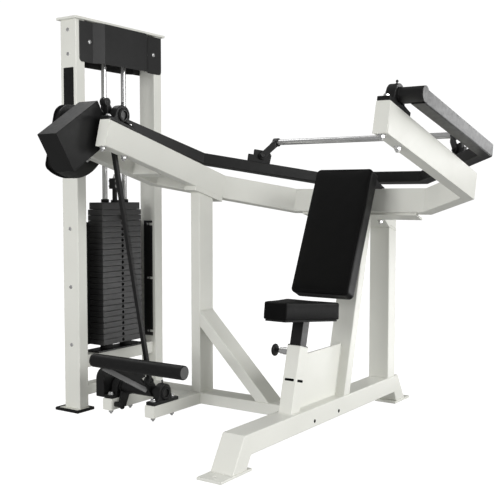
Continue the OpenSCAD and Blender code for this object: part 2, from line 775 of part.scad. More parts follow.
module head_pulley() {
  bore = axle_r + run_fit;
  groove = pulley_r - 8;
  color(black) translate([tower_mid - pulley_w / 2, tower_cy, pulley_z]) rotate([0, 90, 0]) rotate_extrude()
    polygon([[bore, 0], [pulley_r, 0], [pulley_r, 3], [groove, 9], [groove, pulley_w - 9],
      [pulley_r, pulley_w - 3], [pulley_r, pulley_w], [bore, pulley_w]]);
}

// Bearings and fasteners
module pillow_blocks() {
  color(black) in_bearings() for (x = [-beam_mid, -arm_mid, arm_mid]) pillow_block(x);
}
module pedal_blocks() {
  color(black) in_pedal() for (x = [arm_mid, far_stub]) pillow_block(-x);
}
module grease_nipples() {
  color(black) {
    in_bearings() for (x = [-beam_mid, -arm_mid, arm_mid]) nipple(x);
    in_pedal() for (x = [arm_mid, far_stub]) nipple(-x);
  }
}
module bearing_bolts() {
  color(chrome) {
    in_bearings() for (x = [-beam_mid, -arm_mid, arm_mid]) block_bolts(x, arm_h);
    in_pedal() for (x = [arm_mid, far_stub]) block_bolts(-x, tube_n);
  }
}
module panel_bolts() {
  color(chrome) {
    for (z = [guard_z + guard_bolt_edge, guard_z + guard_h / 2, guard_z + guard_h - guard_bolt_edge,
        tower_h - post_bolt_low, tower_h - post_bolt_high])
      translate([tower_mid, tower_y, z]) rotate([90, 0, 0]) cylinder(r = bolt_r + 1, h = 4);
    for (y = [tower_y + panel_bolt_front, tower_y + tower_pitch + post_y - panel_bolt_rear])
      translate([sheet - tower_x, y, tower_h - panel_bolt_drop]) bar_along_x(panel_bolt_r, 0, 5);
  }
}

// Back pad and its brackets
function pad_back(z) = let (d = pad_t + board_t) pad_y + d * cos(pad_lean)
  + (z - pad_z + d * sin(pad_lean)) * tan(pad_lean);
function back_front(z) = back_y + (z - rail_top) * tan(lean);
function arm_top(y) = arm_z - (y - arm_y) * tan(lean);
bracket_h = 50;
bracket_low = 96;
ear_x = 110;
ear_w = 8;
ear_h = 46;
ear_drop = 4;
ear_foot = 26;
ear_foot_t = 9;
pad_corner = 22;
seat_corner = 14;
module pad_brackets() {
  low = pad_z + bracket_low;
  low_top = low + bracket_h;
  edge_y = arm_y + cross_u * cos(lean);
  edge_z = arm_top(edge_y);
  high = edge_z - ear_drop;
  high_top = edge_z + ear_h;
  end_y = edge_y + ear_foot;
  color(black) {
    side_plate([[pad_back(low) + play, low], [pad_back(low_top) + play, low_top],
      [back_front(low_top) - play, low_top], [back_front(low) - play, low]], -30, 30);
    for (x = [-ear_x - ear_w, ear_x])
      side_plate([[pad_back(high) + play, high], [pad_back(high_top) + play, high_top],
        [edge_y, edge_z + ear_foot_t + 3], [end_y, arm_top(end_y) + ear_foot_t],
        [end_y, arm_top(end_y) + play], [edge_y, edge_z + play], [edge_y - 2, high]],
        x, x + ear_w);
  }
}
module pad_board() {
  margin = 14;
  color(black) in_pad() translate([margin - pad_w / 2, pad_t + play / 3, margin])
    cube([pad_w - 2 * margin, board_t - play / 3, pad_len - 2 * margin]);
}
module back_pad() {
  half = pad_w / 2;
  color(black) in_pad() translate([0, pad_t, 0]) rotate([90, 0, 0])
    cushion([[-half, 0], [half, 0], [half, pad_len], [-half, pad_len]], pad_corner, pad_t);
}

// Seat
module seat_post() {
  color(black) difference() {
    intersection() {
      in_receiver() translate([-post_w / 2, -post_w / 2, receiver_len - post_in])
        tube([post_w, post_w, far], 2);
      under_seat();
    }
    in_receiver() for (k = [-3:2]) translate([0, 0, pop_z + k * hole_pitch])
      bar_along_x(pop_r + 1, -post_w, 0);
  }
}
function seat_corners(margin) = [[margin - seat_front, margin], [seat_front - margin, margin],
  [seat_rear - margin, seat_len - margin], [margin - seat_rear, seat_len - margin]];
module seat_board() {
  color(black) in_seat() linear_extrude(board_t) polygon(seat_corners(10));
}
module seat_cushion() {
  color(black) in_seat() translate([0, 0, board_t + play / 3]) cushion(seat_corners(0), seat_corner, seat_t);
}
module pop_pin_barrel() {
  color(chrome) in_receiver() translate([0, 0, pop_z]) difference() {
    bar_along_x(11, -receiver_w / 2, -receiver_w / 2 - barrel_len);
    bar_along_x(pop_r + run_fit, 0, -2 * receiver_w);
  }
}
// Half outline of the pop pin's round knob: a ball cut flat at a share of its radius
knob_cut = 0.55;
knob_start = -asin(knob_cut);
knob_line = concat([[0, 0]], [for (k = [0:9]) let (a = knob_start + (90 - knob_start) * k / 9)
  knob_r * [cos(a), sin(a) + knob_cut]]);
module pop_pin() {
  out = receiver_w / 2 + barrel_len + pop_throw + hub_gap;
  color(black) in_receiver() translate([0, 0, pop_z]) {
    bar_along_x(pop_r, -post_w / 2 - play, -out - 4);
    translate([-out, 0, 0]) rotate([0, -90, 0]) rotate_extrude() polygon(knob_line);
  }
}

// Press yoke and what turns with it
module press_yoke() {
  color(black) in_yoke() difference() {
    translate([0, 0, -yoke_drop - yoke_w / 2])
      bent_tube(yoke_mid, yoke_len, yoke_cross, yoke_half, yoke_w, yoke_w);
    for (s = [-1, 1]) bar_along_x(hub_r + run_fit, s * (yoke_in - 1), s * (yoke_x + 1));
  }
}
module yoke_hubs() {
  color(black) in_yoke() difference() {
    union() {
      bar_along_x(hub_r, arm_mid + block_w / 2 + hub_gap, yoke_x);
      bar_along_x(hub_r, -yoke_in, -weight_x - weight_w);
    }
    bar_along_x(shaft_r + run_fit, arm_mid, yoke_x - hub_wall);
    bar_along_x(shaft_r + run_fit, -arm_mid, -beam_in);
  }
}
module pivot_shafts() {
  color(chrome) translate([0, pivot_y, pivot_z]) {
    bar_along_x(shaft_r, arm_mid - block_w / 2 + shaft_in, yoke_x - hub_wall);
    bar_along_x(shaft_r, block_w / 2 - shaft_in - arm_mid, -cam_x - cam_t - shaft_in);
  }
}
module counterweight() {
  color(black) translate([0, pivot_y, pivot_z]) rotate([weight_tilt, 0, 0])
    translate([-weight_x - weight_w, -hub_r - play - weight_len, -weight_h / 2])
      cube([weight_w, weight_len, weight_h]);
}
// Outline of the cam about the pivot: a flat front, a level top and a round rear
cam_front = [[-65, 58], [-128, -204]];
cam_rear = [176, 58];
cam_arc = [-118, 20];
cam_corner = 16;
cam_mid = [20, -90];
cam_share = 0.94;
cam_step = (cam_arc[1] - cam_arc[0]) / 12;
cam_line = rounded(concat(cam_front, [for (k = [0:12]) let (a = cam_arc[0] + k * cam_step)
  [cam_r * cos(a), cam_r * sin(a) - cam_drop]], [cam_rear]), cam_corner);
module drive_cam() {
  back = -cam_x - cam_t;
  color(black) translate([0, pivot_y, pivot_z]) difference() {
    union() {
      side_plate(cam_line, back, back + cam_lip);
      side_plate([for (p = cam_line) cam_mid + (p - cam_mid) * cam_share], back + 1, -cam_x - 1);
      side_plate(cam_line, -cam_x - cam_lip, -cam_x);
    }
    bar_along_x(shaft_r + run_fit, 1 - cam_x, back - 1);
  }
}
// A crank plate on a shaft, with its pin through the link rod
module crank(pin_end) {
  difference() {
    union() {
      bar_along_x(26, -crank_x, -crank_x - crank_t);
      side_plate([[-15, -19], [21, 11], [21 - crank_y, 11 + crank_z], [-15 - crank_y, crank_z - 19]],
        -crank_x, -crank_x - crank_t);
      translate([0, -crank_y, crank_z]) bar_along_x(20, -crank_x, -crank_x - crank_t);
      translate([0, -crank_y, crank_z]) bar_along_x(crank_pin_r, pin_end, -crank_x - 1);
    }
    bar_along_x(shaft_r + run_fit, -crank_x + 1, -crank_x - crank_t - 1);
  }
}
module yoke_crank() {
  color(black) translate([0, pivot_y, pivot_z]) crank(-rod_in);
}
// Stepped brackets on the yoke's diagonals, with the bar's lugs against their inner sides
bracket_run = 150;
bracket_t = 14;
bracket_line = [[0, 0], [0, 40], [26, 40], [26, 66], [98, 66], [112, 48], [108, 0]];
bracket_in = yoke_w - bracket_t - 2;
lug_t = 10;
lug_r = 16;
bolt_s = 66;
bolt_n = 37;
neck_s = 107;
neck_n = 88;
socket_r = 20;
socket_len = 26;
// Local X runs along the diagonal, Y across it from its inner edge, Z up
module at_bracket(side) {
  in_yoke() translate([side * (yoke_in - bracket_run), yoke_len + bracket_run, yoke_top])
    mirror([side > 0 ? 1 : 0, 0, 0]) rotate([0, 0, 45]) children();
}
module bar_brackets() {
  color(black) for (side = [-1, 1]) at_bracket(side)
    translate([0, bracket_in + bracket_t, 0]) rotate([90, 0, 0])
      linear_extrude(bracket_t) polygon(bracket_line);
}
module lug_disc(s, n) {
  translate([s, bracket_in - play, n]) rotate([90, 0, 0]) cylinder(r = lug_r, h = lug_t, $fn = 32);
}
module at_bar() { in_yoke() translate([0, bar_u, bar_n]) children(); }
module bar_lugs() {
  color(black) for (side = [-1, 1]) {
    hull() at_bracket(side) {
      lug_disc(bolt_s, bolt_n);
      lug_disc(neck_s, neck_n);
    }
    hull() {
      at_bracket(side) lug_disc(neck_s, neck_n);
      at_bar() bar_along_x(lug_r, side * (bar_half + 4), side * (bar_half + socket_len - 4));
    }
    at_bar() bar_along_x(socket_r, side * bar_half, side * (bar_half + socket_len));
  }
}
module press_bar() {
  color(chrome) at_bar() bar_along_x(bar_r, -bar_half, bar_half);
}

// Link rod between the cranks: it stays parallel to the line from pivot to pedal shaft
module link_rod() {
  dy = pedal_y - pivot_y;
  dz = pivot_z - pedal_z;
  len = norm([dy, dz]);
  turn = atan2(dy, dz);
  eye_r = 17;
  color(black) translate([0, pivot_y - crank_y, pivot_z + crank_z]) rotate([turn, 0, 0]) difference() {
    union() {
      translate([-rod_mid - rod_w / 2, -rod_w / 2, -len]) cube([rod_w, rod_w, len]);
      for (z = [0, -len]) translate([0, 0, z])
        bar_along_x(eye_r, -rod_mid - rod_w / 2, -rod_mid + rod_w / 2);
    }
    bar_along_x(crank_pin_r + run_fit, -rod_mid - rod_w, -rod_mid + rod_w);
    translate([0, 0, -len]) bar_along_x(crank_pin_r + open_fit, -rod_mid - rod_w, -rod_mid + rod_w);
  }
}

// Pedal
drum_r = 88;
drum_t = 46;
drum_drop = 41;
drum_x = far_stub + tube_n / 2 + hub_gap;
module pedal_shaft() {
  color(black) in_pedal()
    bar_along_x(shaft_r, block_w / 2 - shaft_in - arm_mid, -drum_x - drum_t + shaft_in);
}
web_t = 10;
web_left = 820;
web_right = 610;
web_waist = 100;
web_flare = 30;
web_root = 10;
web_root_w = 40;
rib_t = 12;
rib_d = 16;
lever_hub_r = 26;
stop_plate = [[-36, -15], [22, -15], [-12, -86], [-50, -72]];
stop_plate_x = 800;
// A rib below the web, a little inside the edge from one point to the other
module web_rib(from, to) {
  d = (to - from) / norm(to - from);
  n = [d[1], -d[0]];
  translate([0, 0, -web_t / 2 - rib_d]) linear_extrude(rib_d + web_t - 1)
    polygon([from + n + 8 * d, from + (rib_t + 1) * n + 8 * d,
      to + (rib_t + 1) * n - 8 * d, to + n - 8 * d]);
}
// The half round drum on the shaft's far end
module pedal_drum() {
  a0 = asin(drum_drop / drum_r);
  difference() {
    side_plate([for (k = [0:36]) let (a = k * (180 + 2 * a0) / 36 - a0) drum_r * [cos(a), sin(a)]],
      -drum_x - drum_t, -drum_x);
    bar_along_x(shaft_r + run_fit, 1 - drum_x, -drum_x - drum_t - 1);
  }
}
// Local Y runs from the shaft towards the roller, negative to the front
module pedal_lever() {
  left = far_stub - block_w / 2 - 4;
  right = crank_x + crank_t + side_gap;
  seat_r = roller_reach - roller_r;
  edge = -right - 2;
  color(black) in_pedal() {
    crank(-rod_in);
    pedal_drum();
    difference() {
      union() {
        bar_along_x(lever_hub_r, -right, -left);
        rotate([-roller_angle, 0, 0]) {
          translate([0, 0, -web_t / 2]) linear_extrude(web_t)
            polygon([[-web_left, -seat_r], [-web_right, -seat_r], [-web_right, -web_waist - web_flare],
              [edge, -web_waist], [edge, -web_root], [-right - web_root_w, -web_root]]);
          web_rib([-web_left, -seat_r], [-right - web_root_w, -web_root]);
        }
        side_plate(stop_plate, -stop_plate_x, -stop_plate_x - rib_t);
      }
      bar_along_x(shaft_r + run_fit, 1 - right, -left - 1);
    }
  }
}
module pedal_roller() {
  color(black) in_pedal() translate([0, -roller_y, roller_z])
    bar_along_x(roller_r - play, -roller_x, -roller_x - roller_len);
}
module pedal_stop() {
  side = tube_n / 2 - far_stub;
  color(black) in_pedal() translate([0, -stop_front, -stop_drop])
    bar_along_x(stop_r, side, side + stop_len);
}

base_rail();
rail_feet();
rear_upright();
neck_tube();
back_upright();
seat_receiver();
gusset_plate();
cross_base();
pedal_stubs();
centre_upright();
upright_brace();
upper_frame();
outer_beam();
beam_tie();
frame_flanges();
tube_end_caps();
tower_posts();
tower_cap();
tower_feet();
tower_cross_tubes();
stack_strip();
stack_bumpers();
head_beam();
head_panels();
stack_guard();
guide_rods();
lower_weight_plates();
pillow_blocks();
pedal_blocks();
grease_nipples();
bearing_bolts();
panel_bolts();
pedal_stop();
pad_brackets();
pad_board();
back_pad();
pop_pin_barrel();
head_pulley();
head_plate();
upper_weight_plates();
selector_stem();
guide_collars();
selector_pin();
press_yoke();
yoke_hubs();
pivot_shafts();
counterweight();
drive_cam();
yoke_crank();
bar_brackets();
bar_lugs();
press_bar();
link_rod();
pedal_shaft();
pedal_lever();
pedal_roller();
seat_post();
seat_board();
seat_cushion();
pop_pin();
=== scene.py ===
"""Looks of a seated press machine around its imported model, in metres and in the model's own frame."""
import json
import math

import bmesh
import bpy
from mathutils import Matrix, Vector
from mathutils.bvhtree import BVHTree
from mathutils.kdtree import KDTree


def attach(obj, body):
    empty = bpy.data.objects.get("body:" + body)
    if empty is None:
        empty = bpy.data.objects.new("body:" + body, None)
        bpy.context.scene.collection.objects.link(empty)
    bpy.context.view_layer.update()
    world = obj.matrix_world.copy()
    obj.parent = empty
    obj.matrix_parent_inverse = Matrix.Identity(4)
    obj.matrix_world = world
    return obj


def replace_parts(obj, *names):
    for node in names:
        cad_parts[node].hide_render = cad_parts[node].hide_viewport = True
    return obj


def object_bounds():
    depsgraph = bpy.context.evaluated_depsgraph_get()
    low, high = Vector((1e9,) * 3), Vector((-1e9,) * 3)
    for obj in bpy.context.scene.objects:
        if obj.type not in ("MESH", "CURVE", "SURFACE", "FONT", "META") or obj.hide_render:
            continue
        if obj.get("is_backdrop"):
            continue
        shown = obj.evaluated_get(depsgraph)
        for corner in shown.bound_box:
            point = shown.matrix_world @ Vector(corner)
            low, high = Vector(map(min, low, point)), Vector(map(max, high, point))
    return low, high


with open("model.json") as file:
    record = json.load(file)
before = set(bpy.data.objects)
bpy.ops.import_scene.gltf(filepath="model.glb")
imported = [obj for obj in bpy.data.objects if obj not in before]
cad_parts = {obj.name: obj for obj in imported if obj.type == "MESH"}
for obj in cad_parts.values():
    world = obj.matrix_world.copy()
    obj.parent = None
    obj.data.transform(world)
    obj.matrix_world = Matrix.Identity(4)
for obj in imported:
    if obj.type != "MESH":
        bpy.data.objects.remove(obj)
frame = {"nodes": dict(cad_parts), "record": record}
NODES = frame["nodes"]
BODY = {node: body for body, nodes in frame["record"]["behaviour"]["bodies"].items() for node in nodes}
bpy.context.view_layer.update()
scene = bpy.context.scene
scene.view_settings.view_transform = "Standard"


# Places, as in the part's source
def place(x, y, z, tilt=0.0):
    return Matrix.Translation((x, y, z)) @ Matrix.Rotation(math.radians(tilt), 4, "X")


LEAN = -14.84
SLOPE = math.tan(math.radians(-LEAN))
RAIL_TOP, TUBE_HALF = 0.1382, 0.0508
ARM_X, BEAM_X, STUB_X = 0.5997, 0.8034, 0.843
TOWER_X, TOWER_Y, POST_FRONT = -1.15375, 0.6775, 0.3756
PIVOT = (0, 0.117745, 1.328944)
UPPER = place(0, 0.0323, 1.3071, LEAN)
BEARINGS = place(*PIVOT, LEAN)
YOKE = place(*PIVOT, -12.6)
PEDAL = place(0, 0.370, 0.156)
RECEIVER = place(0, 0.44175, RAIL_TOP, LEAN)
SEAT = place(0, 0.331, 0.531, -4.6)
PAD = place(0, 0.6745, 0.604, -23.5)

# Turns: SIDEWAYS lays an outline in Y and Z and draws it up along X
TO_X = Matrix.Rotation(math.radians(90), 4, "Y")
TO_FRONT = Matrix.Rotation(math.radians(90), 4, "X")
TO_SIDE = Matrix.Rotation(math.radians(90), 4, "Z") @ TO_FRONT
UPSIDE_DOWN = Matrix.Rotation(math.pi, 4, "X")
SIDEWAYS = Matrix(((0, 0, 1, 0), (1, 0, 0, 0), (0, 1, 0, 0), (0, 0, 0, 1)))

# Camera at the photograph's viewing angle
AZIMUTH, ELEVATION = math.radians(34.13), math.radians(3.54)
away = Vector((math.sin(AZIMUTH) * math.cos(ELEVATION), -math.cos(AZIMUTH) * math.cos(ELEVATION),
               math.sin(ELEVATION)))
camera = bpy.data.objects.new("camera", bpy.data.cameras.new("camera"))
camera.data.lens, camera.data.sensor_width = 62.5, 36
camera.data.clip_end = 300
camera.location = (1.8023, -2.4961, 1.0048)
camera.rotation_mode = "QUATERNION"
camera.rotation_quaternion = (-away).to_track_quat("-Z", "Y")
scene.collection.objects.link(camera)
scene.camera = camera


# Materials
class Finish:
    """A procedural material: a Principled shader with helpers for what varies over the surface."""

    def __init__(self, name, colour, rough, **values):
        self.material = bpy.data.materials.new(name)
        self.material.use_nodes = True
        self.tree = self.material.node_tree
        self.shader = self.tree.nodes["Principled BSDF"]
        self.shader.inputs["Base Color"].default_value = (*colour, 1)
        self.shader.inputs["Roughness"].default_value = rough
        for key, value in values.items():
            self.shader.inputs[key].default_value = value
        self.coord = self.tree.nodes.new("ShaderNodeTexCoord").outputs["Object"]
        self.bump = None

    def noise(self, scale, detail=2.0, stretch=(1, 1, 1)):
        move = self.tree.nodes.new("ShaderNodeMapping")
        move.inputs["Scale"].default_value = stretch
        node = self.tree.nodes.new("ShaderNodeTexNoise")
        node.inputs["Scale"].default_value = scale
        node.inputs["Detail"].default_value = detail
        self.tree.links.new(self.coord, move.inputs["Vector"])
        self.tree.links.new(move.outputs["Vector"], node.inputs["Vector"])
        return node.outputs["Fac"]

    def cells(self, scale):
        node = self.tree.nodes.new("ShaderNodeTexVoronoi")
        node.feature = "DISTANCE_TO_EDGE"
        node.inputs["Scale"].default_value = scale
        self.tree.links.new(self.coord, node.inputs["Vector"])
        return node.outputs["Distance"]

    def colours(self, fac, first, second, low=0.3, high=0.7):
        ramp = self.tree.nodes.new("ShaderNodeValToRGB")
        for stop, place_at, colour in zip(ramp.color_ramp.elements, (low, high), (first, second)):
            stop.position, stop.color = place_at, (*colour, 1)
        self.tree.links.new(fac, ramp.inputs["Fac"])
        self.tree.links.new(ramp.outputs["Color"], self.shader.inputs["Base Color"])
        return self

    def gloss(self, fac, first, second, low=0.3, high=0.7):
        node = self.tree.nodes.new("ShaderNodeMapRange")
        for key, value in zip(("From Min", "From Max", "To Min", "To Max"), (low, high, first, second)):
            node.inputs[key].default_value = value
        self.tree.links.new(fac, node.inputs["Value"])
        self.tree.links.new(node.outputs["Result"], self.shader.inputs["Roughness"])
        return self

    def relief(self, fac, strength, depth):
        node = self.tree.nodes.new("ShaderNodeBump")
        node.inputs["Strength"].default_value = strength
        node.inputs["Distance"].default_value = depth
        self.tree.links.new(fac, node.inputs["Height"])
        if self.bump:
            self.tree.links.new(self.bump, node.inputs["Normal"])
        self.bump = node.outputs["Normal"]
        self.tree.links.new(self.bump, self.shader.inputs["Normal"])
        return self


def powder_coat(name, dark, light, rough, peel, scale=420, specular=0.5):
    made = Finish(name, light, rough)
    made.shader.inputs["Specular IOR Level"].default_value = specular
    made.colours(made.noise(5, 4), dark, light)
    made.gloss(made.noise(60, 3), rough - 0.04, rough + 0.05)
    made.relief(made.noise(scale, 2), peel, 0.0004)
    made.relief(made.noise(28, 2), peel * 0.5, 0.002)
    return made.material


def grey(level):
    return (level, level, level)


white = powder_coat("white_powder_coat", (0.765, 0.768, 0.715), (0.800, 0.802, 0.750), 0.36, 0.10,
                    specular=0.30)
black = powder_coat("black_powder_coat", grey(0.0105), grey(0.0140), 0.40, 0.012)
weight_black = powder_coat("weight_black", grey(0.0140), grey(0.0175), 0.36, 0.03, specular=0.17)
panel_black = powder_coat("panel_black", grey(0.0165), grey(0.0215), 0.42, 0.12)
# Light grey for the pedal's black rib: a painted highlight of its lit edge, not its own paint
rib_painted_highlight = powder_coat("rib_painted_highlight", grey(0.20), grey(0.24), 0.42, 0.05)
weight_grey = powder_coat("weight_plate_paint", grey(0.038), grey(0.048), 0.40, 0.22, scale=260)
cap_grey = powder_coat("end_cap_grey", grey(0.095), grey(0.115), 0.55, 0.2, scale=300)
cast_black = powder_coat("cast_iron_paint", grey(0.0090), grey(0.0140), 0.46, 0.55, scale=210)

made = Finish("bright_chrome", grey(0.80), 0.22, Metallic=0.72)
made.colours(made.noise(14, 3), grey(0.76), grey(0.86))
made.gloss(made.noise(180, 3), 0.18, 0.27)
made.relief(made.noise(700, 2), 0.03, 0.0002)
chrome = made.material

made = Finish("brushed_steel", grey(0.55), 0.3, Metallic=1.0)
made.colours(made.noise(30, 4), grey(0.46), grey(0.60))
made.gloss(made.noise(240, 3, (1, 8, 8)), 0.22, 0.38)
made.relief(made.noise(500, 3, (1, 10, 10)), 0.08, 0.0002)
steel = made.material

made = Finish("dark_steel", grey(0.09), 0.34, Metallic=1.0)
made.colours(made.noise(40, 4), grey(0.07), grey(0.12))
made.gloss(made.noise(200, 3), 0.28, 0.42)
made.relief(made.noise(600, 2), 0.05, 0.0002)
dark_steel = made.material

made = Finish("black_rubber", grey(0.012), 0.78)
made.colours(made.noise(60, 4), grey(0.009), grey(0.016))
made.gloss(made.noise(120, 3), 0.68, 0.86)
made.relief(made.noise(520, 4), 0.35, 0.0005)
rubber = made.material

made = Finish("grip_foam", grey(0.012), 0.42)
made.colours(made.noise(90, 4), grey(0.009), grey(0.013))
made.gloss(made.noise(150, 3), 0.36, 0.48)
made.relief(made.noise(850, 4), 0.15, 0.0004)
foam = made.material

made = Finish("black_plastic", grey(0.010), 0.34)
made.colours(made.noise(70, 3), grey(0.008), grey(0.013))
made.gloss(made.noise(90, 3), 0.30, 0.42)
made.relief(made.noise(900, 2), 0.12, 0.0003)
plastic = made.material

made = Finish("black_vinyl", grey(0.0040), 0.48)
made.shader.inputs["Specular IOR Level"].default_value = 0.28
made.colours(made.noise(22, 4), grey(0.0024), grey(0.0034))
made.gloss(made.noise(300, 3), 0.42, 0.56)
made.relief(made.cells(430), 0.30, 0.0004)
made.relief(made.noise(900, 3), 0.15, 0.0003)
made.relief(made.noise(18, 2), 0.12, 0.003)
vinyl = made.material

# Near-black with almost no gloss. On the receiver slots it is painted shade for the dark inside of each slot.
made = Finish("hole_black", grey(0.0015), 0.9)
made.shader.inputs["Specular IOR Level"].default_value = 0.05
made.colours(made.noise(60, 2), grey(0.001), grey(0.002))
made.relief(made.noise(300, 2), 0.1, 0.0002)
hole_black = made.material

made = Finish("seam_thread", grey(0.014), 0.7)
made.colours(made.noise(400, 2), grey(0.010), grey(0.020))
made.relief(made.noise(1800, 2), 0.4, 0.0003)
thread = made.material


# Mesh helpers
def as_object(bm, name):
    mesh = bpy.data.meshes.new(name)
    bm.to_mesh(mesh)
    bm.free()
    obj = bpy.data.objects.new(name, mesh)
    scene.collection.objects.link(obj)
    return obj


def piece(bm, name, body, *materials, limit=44):
    """A finished piece of the object from a bmesh: smooth where it is round, crisp where it isn't."""
    bmesh.ops.recalc_face_normals(bm, faces=bm.faces)
    for face in bm.faces:
        face.smooth = True
    for edge in bm.edges:
        edge.smooth = len(edge.link_faces) == 2 and edge.calc_face_angle(0) < math.radians(limit)
    obj = as_object(bm, name)
    for material in materials:
        obj.data.materials.append(material)
    normals = obj.modifiers.new("weighted normals", "WEIGHTED_NORMAL")
    normals.keep_sharp = True
    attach(obj, body)
    return obj


def reach(face, edge):
    """How far a face goes from one of its edges."""
    start = edge.verts[0].co
    line = (edge.verts[1].co - start).normalized()
    return max(((v.co - start) - (v.co - start).dot(line) * line).length for v in face.verts)


def round_edges(bm, radius, segments, least=20):
    """Rounds the outer edges that have room for it."""
    edges = [e for e in bm.edges if len(e.link_faces) == 2 and e.is_convex
             and e.calc_face_angle(0) > math.radians(least)
             and all(reach(f, e) > 2.1 * radius for f in e.link_faces)]
    if edges:
        bmesh.ops.bevel(bm, geom=edges, offset=radius, offset_type="OFFSET", segments=segments, profile=0.5,
                        affect="EDGES", clamp_overlap=False, loop_slide=True)


def cad_copy(node):
    """The node's mesh with its flat faces in one piece."""
    bm = bmesh.new()
    bm.from_mesh(NODES[node].data)
    bmesh.ops.remove_doubles(bm, verts=bm.verts, dist=3e-6)
    bmesh.ops.dissolve_limit(bm, angle_limit=math.radians(0.3), verts=bm.verts, edges=bm.edges)
    bmesh.ops.recalc_face_normals(bm, faces=bm.faces)
    return bm


def dress(node, material, radius, segments=3, small=0.0006, limit=32):
    """The node with rounded edges, as a piece that stands for it."""
    bm = cad_copy(node)
    round_edges(bm, radius, segments)
    if small:
        round_edges(bm, small, 2, least=50)
    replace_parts(piece(bm, node + "_finished", BODY[node], material, limit=limit), node)


def skin(bm, rings):
    """Faces between rings of equal count."""
    for low, high in zip(rings, rings[1:]):
        for k in range(len(low)):
            n = (k + 1) % len(low)
            bm.faces.new((low[k], low[n], high[n], high[k]))


def moulding(bm, loops):
    """A closed moulding whose section runs from loop to loop and back to the first."""
    rings = [[bm.verts.new(p) for p in loop] for loop in loops]
    skin(bm, rings + rings[:1])


def turned(bm, profile, matrix, count=32):
    """A shape turned about Z from (radius, height) points. A third entry makes that ring a hexagon."""
    rings = []
    for radius, height, *hexagon in profile:
        if radius < 1e-7:
            rings.append([bm.verts.new(matrix @ Vector((0, 0, height)))])
            continue
        ring = []
        for k in range(count):
            angle = 2 * math.pi * k / count
            r = radius
            if hexagon:
                r *= math.cos(math.pi / 6) / math.cos(angle % (math.pi / 3) - math.pi / 6)
            ring.append(bm.verts.new(matrix @ Vector((r * math.cos(angle), r * math.sin(angle), height))))
        rings.append(ring)
    for low, high in zip(rings, rings[1:]):
        for k in range(count):
            n = (k + 1) % count
            if len(low) == 1 and len(high) > 1:
                bm.faces.new((low[0], high[n], high[k]))
            elif len(high) == 1 and len(low) > 1:
                bm.faces.new((low[k], low[n], high[0]))
            elif len(low) > 1:
                bm.faces.new((low[k], low[n], high[n], high[k]))


def at(matrix, x, y, z):
    return matrix @ Matrix.Translation((x, y, z))


WASHER_HEIGHT = 0.0022


def hex_head(bm, matrix, r=0.011, h=0.0085, washer=0.0135):
    """A washer and a chamfered hexagon head or nut on it, standing on Z = 0."""
    base, top = WASHER_HEIGHT, WASHER_HEIGHT + h
    turned(bm, [(0, 0), (washer - 0.0004, 0), (washer, 0.0004), (washer, base - 0.0006),
                (washer - 0.0006, base), (0, base)], matrix)
    turned(bm, [(0, base), (r * 0.93, base), (r, base + 0.0008, 1), (r, top - 0.0014, 1), (r * 0.85, top),
                (0, top)], matrix, 36)


def stud(bm, matrix, r, start, end):
    """A threaded end from start to end along Z."""
    step = 0.00175
    profile = [(0, start), (r, start)]
    z = start
    while z + step < end - 0.001:
        profile += [(r * 0.88, z + step / 2), (r, z + step)]
        z += step
    turned(bm, profile + [(r * 0.82, end), (0, end)], matrix, 20)


def button_head(bm, matrix, r, h):
    """A domed head with a hexagon socket, standing on Z = 0."""
    turned(bm, [(0, 0), (r, 0), (r, h * 0.22), (r * 0.96, h * 0.5), (r * 0.82, h * 0.8), (r * 0.62, h * 0.96),
                (r * 0.52, h), (r * 0.46, h, 1), (r * 0.44, h * 0.35, 1), (0, h * 0.3)], matrix, 36)


def add(bm, other, matrix):
    """Moves another bmesh into this one."""
    bmesh.ops.transform(other, matrix=matrix, verts=other.verts)
    mesh = bpy.data.meshes.new("part")
    other.to_mesh(mesh)
    other.free()
    bm.from_mesh(mesh)
    bpy.data.meshes.remove(mesh)


def prism(bm, outline, low, high, matrix, radius=0.0, corner=0.0):
    """A flat outline in X and Y drawn up from low to high, with rounded corners and rims."""
    made = bmesh.new()
    verts = [made.verts.new((x, y, low)) for x, y in outline]
    face = made.faces.new(verts)
    top = bmesh.ops.extrude_face_region(made, geom=[face])
    for v in (g for g in top["geom"] if isinstance(g, bmesh.types.BMVert)):
        v.co.z = high
    bmesh.ops.recalc_face_normals(made, faces=made.faces)
    if corner:
        upright = [e for e in made.edges if abs(e.verts[0].co.z - e.verts[1].co.z) > 1e-6 and e.is_convex]
        bmesh.ops.bevel(made, geom=upright, offset=corner, segments=4, profile=0.5, affect="EDGES")
    if radius:
        rims = [e for e in made.edges if e.calc_face_angle(0) > 1.2 and e.is_convex
                and abs(e.verts[0].co.z - e.verts[1].co.z) < 1e-6]
        bmesh.ops.bevel(made, geom=rims, offset=radius, segments=2, profile=0.5, affect="EDGES")
    add(bm, made, matrix)


def corner_at(corners, k):
    """A corner, the directions of its two edges and half the angle between them."""
    p, a, b = Vector(corners[k]), Vector(corners[k - 1]), Vector(corners[(k + 1) % len(corners)])
    da, db = (a - p).normalized(), (b - p).normalized()
    return p, da, db, math.acos(max(-1.0, min(1.0, da.dot(db)))) / 2


def rounded_outline(corners, radius, steps=9):
    """The outline with arcs for corners. A list gives each its own radius, and 0 leaves it sharp."""
    line = []
    for k in range(len(corners)):
        r = radius[k] if isinstance(radius, (list, tuple)) else radius
        p, da, db, half = corner_at(corners, k)
        if not r:
            line.append(p)
            continue
        centre = p + (da + db).normalized() * r / math.sin(half)
        first, last = p + da * r / math.tan(half) - centre, p + db * r / math.tan(half) - centre
        line += [centre + first.lerp(last, i / steps).normalized() * r for i in range(steps + 1)]
    return line


def inset_outline(corners, radius, distance):
    """The outline with its edges moved in by a distance."""
    moved = []
    for k in range(len(corners)):
        p, da, db, half = corner_at(corners, k)
        moved.append(p + (da + db).normalized() * distance / math.sin(half))
    return rounded_outline(moved, max(radius - distance, 0.003))


